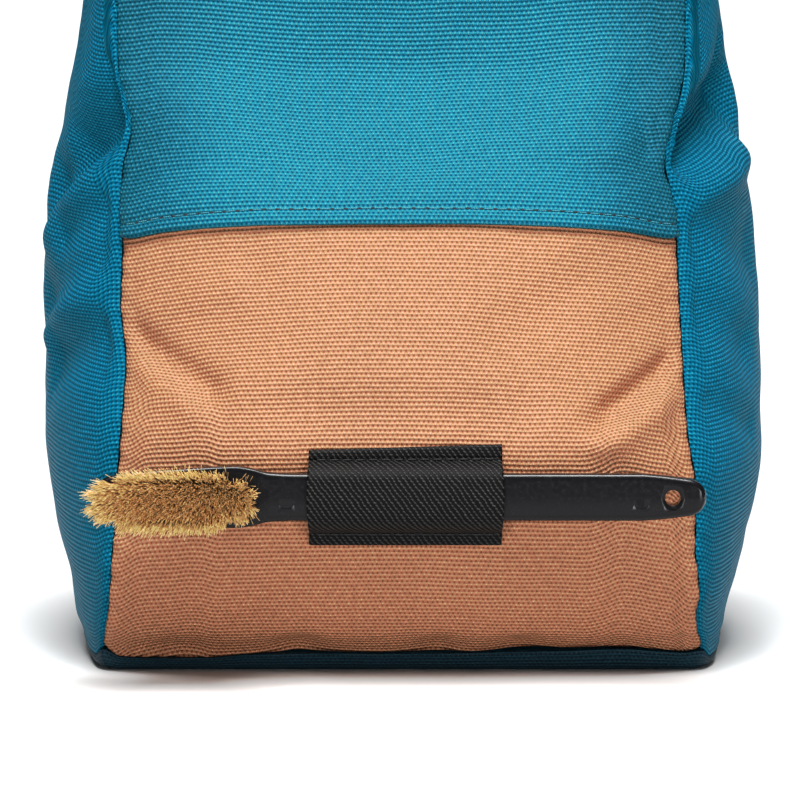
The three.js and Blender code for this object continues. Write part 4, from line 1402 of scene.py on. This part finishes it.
@dataclass
class Brush:
    """The brush: a moulded handle with a hanging hole, and its bristles."""

    width: float = 12.6
    head_width: float = 16.6
    edge: float = 2.1
    face_lean: float = 0.08
    hole_from_tip: float = 9.0
    hole_radius: float = 2.15
    sink_radius: float = 3.3
    ejector_radius: float = 2.75
    ejectors: tuple[float, float] = (-30.8, 64.6)
    stations: int = 120
    section: int = 48
    tuft_rows: int = 7
    tuft_columns: int = 19
    tuft_strands: int = 88
    field_power: float = 2.6
    field_limit: float = 1.35
    strand_sides: int = 3
    strand_steps: tuple[float, ...] = (0.0, 0.55, 1.0)
    strand_radii: tuple[float, ...] = (0.11, 0.1, 0.065)
    strand_seed: int = 417

    def __post_init__(self) -> None:
        """Take the handle's place from its solid."""
        low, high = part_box("brush_handle")
        self.start = low[0] / MM
        self.length = (high[0] - low[0]) / MM
        self.front = low[1] / MM
        self.back = high[1] / MM
        self.centre = (low[2] + high[2]) / MM / 2

    def _half_width(self, along: np.ndarray) -> np.ndarray:
        """Half width of the handle along its length."""
        blade = read_table(BRUSH_OUTLINE, "blade", along) * self.width / 2
        extra = (self.head_width - self.width) / 2
        return blade + read_table(BRUSH_OUTLINE, "head", along) * extra

    def handle(self) -> None:
        """Model the handle from a cylinder laid along X, reshaped ring by ring."""
        deselect_all()
        middle = (self.start + self.length / 2, (self.front + self.back) / 2, self.centre)
        bpy.ops.mesh.primitive_cylinder_add(
            vertices=self.section,
            radius=1.0 * MM,
            depth=self.length * MM,
            end_fill_type="NGON",
            location=[part * MM for part in middle],
            rotation=(0.0, math.pi / 2, 0.0),
        )
        piece = bpy.context.object
        piece.name = "handle"
        bpy.ops.object.transform_apply(location=True, rotation=True, scale=True)
        self._cut_rings()
        self._shape_rings(piece)
        self._cut_marks(piece)
        bpy.ops.object.shade_smooth_by_angle(angle=math.radians(38))
        dress(piece, GlossPlastic(), "brush", "brush_handle")

    def _cut_rings(self) -> None:
        """Bisect the plain cylinder at its stations, closer at both ends."""
        bpy.ops.object.mode_set(mode="EDIT")
        for share in gathered(self.stations, 0.5)[1:-1]:
            bpy.ops.mesh.select_all(action="SELECT")
            place = (self.start + self.length * float(share)) * MM
            bpy.ops.mesh.bisect(plane_co=(place, 0.0, 0.0), plane_no=(1.0, 0.0, 0.0))
        bpy.ops.object.mode_set(mode="OBJECT")

    def _section(self, angle: np.ndarray) -> tuple[np.ndarray, np.ndarray]:
        """Where a corner of the ring lies on a rounded section.

        Args:
            angle: Angles round the plain cylinder.

        Returns:
            Shares along the depth and the height: 0 on the flats, 1 at the end of a rounded edge,
            each with its sign.
        """
        turned = np.arctan(np.abs(np.tan(angle))) / (np.pi / 2)
        arc = np.clip((turned - 0.06) / 0.88, 0, 1) * np.pi / 2
        return np.cos(arc) * np.sign(np.cos(angle)), np.sin(arc) * np.sign(np.sin(angle))

    def _shape_rings(self, piece: Piece) -> None:
        """Move each ring out to the rounded section of the handle there."""
        mesh = piece.data
        points = np.empty(len(mesh.vertices) * 3)
        mesh.vertices.foreach_get("co", points)
        points = points.reshape(-1, 3) / MM
        along = np.clip((points[:, 0] - self.start) / self.length, 0.0, 1.0)
        middle_y = (self.front + self.back) / 2
        angle = np.arctan2(points[:, 2] - self.centre, points[:, 1] - middle_y)
        half_up = self._half_width(along)
        from_end = np.minimum(along, 1 - along) * self.length
        thin = np.sqrt(1 - (1 - np.clip(from_end / 1.8, 0.0, 1.0)) ** 2) * 0.5 + 0.5
        half_deep = (self.back - self.front) / 2 * thin
        edge_up = np.minimum(self.edge, half_up * 0.9)
        edge_deep = np.minimum(self.edge * 0.85, half_deep * 0.9)
        deep, up = self._section(angle)
        flat_deep = np.where(np.abs(deep) > 1e-6, half_deep - edge_deep, 0.0)
        flat_up = np.where(np.abs(up) > 1e-6, half_up - edge_up, 0.0)
        points[:, 1] = middle_y + deep * edge_deep + np.sign(deep) * flat_deep
        points[:, 2] = self.centre + up * edge_up + np.sign(up) * flat_up
        above_bevel = np.maximum(points[:, 2] - self.centre + half_up - edge_up, 0.0)
        front_share = np.clip(-deep, 0.0, 1.0)
        points[:, 1] += self.face_lean * above_bevel * front_share
        mesh.vertices.foreach_set("co", (points * MM).ravel())
        mesh.update()

    def _cutter(self, place: float, radius: float, depth: float, flare: float) -> Piece:
        """A spool-shaped cutter along Y at one place on the handle."""
        deselect_all()
        bpy.ops.mesh.primitive_cylinder_add(
            vertices=40,
            radius=radius * MM,
            depth=depth * MM,
            location=(place * MM, (self.front + self.back) / 2 * MM, self.centre * MM),
            rotation=(math.pi / 2, 0.0, 0.0),
        )
        cutter = bpy.context.object
        bpy.ops.object.transform_apply(location=True, rotation=True, scale=True)
        if flare > 0:
            bpy.ops.object.mode_set(mode="EDIT")
            for level in (self.front + flare, self.back - flare):
                bpy.ops.mesh.select_all(action="SELECT")
                bpy.ops.mesh.bisect(plane_co=(0.0, level * MM, 0.0), plane_no=(0.0, 1.0, 0.0))
            bpy.ops.object.mode_set(mode="OBJECT")
            for vertex in cutter.data.vertices:
                depth_in = min(vertex.co.y / MM - self.front, self.back - vertex.co.y / MM)
                grow = 1 + (self.sink_radius / radius - 1) * max(0.0, 1 - depth_in / flare)
                vertex.co.x = place * MM + (vertex.co.x - place * MM) * grow
                vertex.co.z = self.centre * MM + (vertex.co.z - self.centre * MM) * grow
        return cutter

    def _cut_marks(self, piece: Piece) -> None:
        """Cut the hanging hole and the two shallow ejector circles."""
        hole = self._cutter(
            self.start + self.length - self.hole_from_tip,
            self.hole_radius,
            (self.back - self.front) + 2.0,
            0.7,
        )
        self._subtract(piece, hole)
        for place in self.ejectors:
            deselect_all()
            bpy.ops.mesh.primitive_torus_add(
                location=(place * MM, self.front * MM, self.centre * MM),
                rotation=(math.pi / 2, 0.0, 0.0),
                major_radius=self.ejector_radius * MM,
                minor_radius=0.2 * MM,
                major_segments=48,
                minor_segments=8,
            )
            bpy.ops.object.transform_apply(location=True, rotation=True, scale=True)
            self._subtract(piece, bpy.context.object)

    def _subtract(self, piece: Piece, cutter: Piece) -> None:
        """Cut one shape out of a piece."""
        deselect_all()
        piece.select_set(True)
        bpy.context.view_layer.objects.active = piece
        cut = piece.modifiers.new("cut", "BOOLEAN")
        cut.operation = "DIFFERENCE"
        cut.solver = "EXACT"
        cut.object = cutter
        bpy.ops.object.modifier_apply(modifier=cut.name)
        bpy.data.objects.remove(cutter, do_unlink=True)

    def bristles(self) -> None:
        """Build the bristles strand by strand, in flared tufts."""
        low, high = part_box("brush_bristles")
        tip_low = np.array([low[0], low[2]]) / MM
        tip_high = np.array([high[0], high[2]]) / MM
        half_width = self.width / 2 - 1.4
        root_low = np.array([self.start + 3.2, self.centre - half_width])
        root_high = np.array([tip_high[0] - 2.4, self.centre + half_width])
        fields = tuple(
            part for start, end in ((root_low, root_high), (tip_low, tip_high))
            for part in ((start + end) / 2, (end - start) / 2)
        )
        reach = (high[1] - low[1]) / MM
        rng = np.random.default_rng(self.strand_seed)
        strands = []
        for row in range(self.tuft_rows):
            odd = row % 2
            for column in range(self.tuft_columns - odd):
                along = (column + 0.5 * odd) / (self.tuft_columns - 1) * 2 - 1
                share = np.array([along, row / (self.tuft_rows // 2) - 1])
                if (np.abs(share) ** self.field_power).sum() <= self.field_limit:
                    for _ in range(self.tuft_strands):
                        strands.append(self._strand(share, rng, fields, reach))
        sides, rings = self.strand_sides, len(self.strand_steps)
        faces: list[tuple[int, ...]] = []
        for start in range(0, len(strands) * sides * rings, sides * rings):
            faces += quad_faces(rings, sides, loop_columns=True, start=start)
            last = start + (rings - 1) * sides
            faces += [tuple(range(start, start + sides))[::-1], tuple(range(last, last + sides))]
        piece = make_object("bristles", np.concatenate([points for points, _ in strands]), faces)
        mend_normals(piece)
        layer = piece.data.attributes.new("strand", "FLOAT_VECTOR", "POINT")
        shades = np.concatenate([shade for _, shade in strands])
        layer.data.foreach_set("vector", shades.astype(np.float32).ravel())
        dress(piece, BoarBristle(), "brush", "brush_bristles")

    def _strand(
        self, share: np.ndarray, rng: np.random.Generator,
        fields: tuple[np.ndarray, ...], reach: float,
    ) -> tuple[np.ndarray, np.ndarray]:
        """One strand: a thin three-sided rod, flared near the rim of the field.

        Args:
            share: Place of its tuft in the field, from -1 to 1 each way.
            rng: Seeded source of unevenness.
            fields: Middle and half size of the field at the roots and at the tips.
            reach: Length of the bristles.

        Returns:
            Its points, and for each its tone and the share along the strand.
        """
        root_centre, root_half, tip_centre, tip_half = fields
        power, sides = self.field_power, self.strand_sides
        spread = rng.normal(0.0, 1.0, 2)
        spread /= max(1.0, float(np.linalg.norm(spread)) / 1.5)
        root = root_centre + share * root_half + spread * 0.6
        share = share / max(1.0, float((np.abs(share) ** power).sum() ** (1 / power)))
        rim = min(1.0, float((np.abs(share) ** 3).sum() ** (1 / 3))) ** 5
        stray = rng.random() < 0.02 + 0.05 * rim
        wild = rng.normal(0.0, 1.0, 2) * (0.5 + 0.1 * rim + 0.8 * stray)
        straight = root + (tip_centre - root_centre) * 0.15 + spread * 0.35
        flared = tip_centre + share * (tip_half - 0.5) + spread * 0.6
        flare = 0.25 + 0.75 * rim * (0.55 + 0.45 * rng.random())
        tip = straight + (flared - straight) * flare + wild
        tip = np.clip(tip, tip_centre - tip_half - 1.5, tip_centre + tip_half + 1.5)
        length = reach * (0.86 + 0.14 * rng.random() - 0.18 * rim * rng.random() - 0.1 * stray)
        steps = np.array(self.strand_steps)
        centre = root[None, :] + (tip - root)[None, :] * (steps**1.7)[:, None]
        depth = self.front + 0.2 - length * steps
        radius = np.array(self.strand_radii)
        angles = rng.random() * 2 * np.pi + np.arange(sides) * 2 * np.pi / sides
        ring = np.stack([np.cos(angles), np.sin(angles)], -1)
        flat = centre[:, None, :] + ring[None, :, :] * radius[:, None, None]
        deep = np.repeat(depth[:, None], sides, axis=1)
        body = np.stack([flat[..., 0], deep, flat[..., 1]], -1).reshape(-1, 3)
        tone = np.clip(rng.random() * 0.8 + 0.35 * rim, 0.0, 1.0)
        shares = np.repeat(steps, sides)
        return body, np.stack([np.full(len(body), tone), shares, np.zeros(len(body))], -1)


@dataclass
class Sleeve:
    """Elastic strip sewn down along both hems, running over the handle in between."""

    form: BagForm
    brush: Brush
    width: float = 51.3
    centre_across: float = 1.2
    foot_low: float = 10.3
    foot_high: float = 9.5
    hem: float = 2.9
    slant: float = 1.7
    wall: float = 1.2
    hem_wall: float = 2.0
    clearance: float = 0.4
    end_bulge: float = 0.45
    end_lift: float = 0.25
    stitch_in: float = 0.5
    stitch_sink: float = 0.3
    stitch_reach: float = 0.6

    def _section(self) -> tuple[np.ndarray, np.ndarray, np.ndarray]:
        """Strip from its low hem to its high one: place up, rise and hem thickness."""
        inner = self.brush.width / 2 - 2.2
        curve = 1 - np.cos(np.linspace(0.0, np.pi / 2, 26))
        halves = []
        for foot in (self.foot_low, self.foot_high):
            hem = np.linspace(foot + self.hem, foot, 13)[:-1]
            slope = foot - curve[:-1] * (foot - inner)
            places = np.concatenate([hem, slope, np.linspace(inner, 0.0, 14)])
            run = np.clip((foot - places) / (foot - inner), 0.0, 1.0)
            rise = (1 - (1 - run) ** 2.0) ** 0.55
            rise = rise + 0.035 * np.cos(np.clip(places / inner, 0, 1) * np.pi / 2)
            folded = smooth_step(foot - 0.7, foot + 0.1, places)
            halves.append((places, rise, folded))
        low, high = halves
        low = (-low[0], *low[1:])
        return tuple(np.concatenate([first, last[-2::-1]]) for first, last in zip(low, high))

    def build(self) -> None:
        """Build the elastic."""
        ups, rise, hem = self._section()
        share = gathered(84, 0.3)
        loop_front = self.brush.front - self.clearance - self.wall
        columns, rows = np.meshgrid(share, np.arange(len(ups)))
        up = ups[rows]
        bulge = self.end_bulge * (1 - (np.clip(np.abs(up) / (self.brush.width * 0.7), 0, 1)) ** 2)
        x = self.centre_across + (columns - 0.5) * (self.width + 0.9 + 2 * bulge)
        spread_high = np.clip((up - self.foot_high) / self.hem, 0.0, 1.0)
        z = self.brush.centre + up + self.slant * (columns - 0.5) * spread_high
        across = 0.5 + 1.04 * x / self.form.width
        wall = self.wall + (self.hem_wall - self.wall) * hem[rows]
        seat = self.form.front(across, z)[..., 1] - self.form.gap - wall - self.clearance / 2
        y = seat + (loop_front - seat) * rise[rows]
        near_end = np.minimum(columns, 1 - columns) * self.width
        y += self.end_lift * np.exp(-near_end / 0.9)
        rows_up = (-self.foot_low - self.stitch_in, self.foot_high + self.stitch_in)
        from_stitches = np.minimum(*(np.abs(up - row_up) for row_up in rows_up))
        y += self.stitch_sink * np.exp(-((from_stitches / self.stitch_reach) ** 2))
        outer = np.stack([x, y, z], -1)
        shell = ClothShell(outer, wall, thread_lengths(outer), seam_thin=1.0)
        piece = shell.build("elastic_sleeve")
        dress(piece, TwillElastic(), "bag", "brush_sleeve")
        levels = np.repeat(ups[:, None], outer.shape[1], axis=1)
        for name, row_up in zip(("lower", "upper"), rows_up):
            # Each row also lays dark beads, painted shadow for its needle holes.
            SLEEVE_STITCHING.sew(
                (f"sleeve_{name}_stitching", f"sleeve_{name}_hole_shadows"),
                (f"{name}_black_thread", f"{name}_needle_hole"),
                level_line(outer, levels, row_up),
            )


@dataclass(frozen=True)
class Studio:
    """Plain floor, soft lights and the camera."""

    distance: float = 1100.0
    aim_depth: float = -90.0
    aim_height: float = 77.6
    aim_across: float = -0.27
    elevation: float = 6.0
    lens: float = 183.33
    response: tuple[tuple[float, float], ...] = (
        (0.03, 0.017), (0.12, 0.085), (0.25, 0.2), (0.42, 0.4), (0.82, 0.72),
    )

    def camera(self) -> None:
        """Place the camera as the photograph's."""
        tilt = math.radians(self.elevation)
        data = bpy.data.cameras.new("camera")
        data.lens = self.lens
        data.sensor_width = 36.0
        data.clip_start = 0.01
        data.clip_end = 50.0
        camera = bpy.data.objects.new("camera", data)
        camera.location = (
            self.aim_across * MM,
            (self.aim_depth - self.distance * math.cos(tilt)) * MM,
            (self.aim_height + self.distance * math.sin(tilt)) * MM,
        )
        camera.rotation_euler = (math.pi / 2 - tilt, 0.0, 0.0)
        bpy.context.scene.collection.objects.link(camera)
        bpy.context.scene.camera = camera

    def floor(self) -> None:
        """Lay the plain pale floor."""
        deselect_all()
        bpy.ops.mesh.primitive_plane_add(size=160.0, location=(0.0, 0.0, 0.0))
        ground = bpy.context.object
        ground.name = "studio_floor"
        ground.data.materials.append(StudioFloor().make())

    def sun(self, name: str, bearing: float, height: float, power: float, spread: float) -> None:
        """Add one far soft light.

        Args:
            name: Name of the light.
            bearing: Degrees round from the front, to the right.
            height: Degrees above the floor.
            power: Brightness of a white face that looks straight at it.
            spread: Width of the light in degrees.
        """
        data = bpy.data.lights.new(name, "SUN")
        data.energy = power * math.pi
        data.angle = math.radians(spread)
        light = bpy.data.objects.new(name, data)
        light.rotation_euler = (math.radians(90.0 - height), 0.0, math.radians(bearing))
        light.location = (0.0, 0.0, 1.0)
        bpy.context.scene.collection.objects.link(light)

    def lights(self) -> None:
        """Hang the soft lights and a pale surround."""
        self.sun("key", -2.0, 73.0, 1.9, 30.0)
        self.sun("left_fill", -18.0, 9.0, 0.17, 12.0)
        self.sun("right_fill", 20.0, 9.0, 0.22, 12.0)
        self.sun("back", 172.0, 40.0, 0.35, 50.0)
        world = bpy.data.worlds.new("surround")
        world.use_nodes = True
        background = world.node_tree.nodes["Background"]
        background.inputs[0].default_value = (1.0, 1.0, 1.0, 1.0)
        background.inputs[1].default_value = 0.05
        bpy.context.scene.world = world

    def exposure(self) -> None:
        """Give the picture the mild contrast of a studio photograph."""
        view = bpy.context.scene.view_settings
        view.view_transform = "Standard"
        view.use_curve_mapping = True
        curve = view.curve_mapping.curves[3]
        curve.points[0].location = (0.0, 0.0)
        curve.points[-1].location = (1.05, 1.0)
        for place, level in self.response:
            curve.points.new(place, level)
        view.curve_mapping.update()


def main() -> None:
    """Build every piece in order and report it."""
    logging.basicConfig(level=logging.INFO, format="%(name)s: %(message)s")
    studio = Studio()
    studio.camera()
    form = BagForm()
    panels = Panels(form)
    hem_line = panels.front_upper()
    panels.front_lower()
    panels.flank(Side.LEFT)
    panels.flank(Side.RIGHT)
    panels.back()
    panels.base()
    panels.bindings()
    HEM_STITCHING.sew(
        ("hem_topstitching", "hem_hole_shadows"),
        ("teal_thread", "teal_hole_shadow"),
        hem_line,
    )
    brush = Brush()
    brush.handle()
    brush.bristles()
    Sleeve(form, brush).build()
    studio.floor()
    studio.lights()
    studio.exposure()


if __name__ == "__main__":
    main()
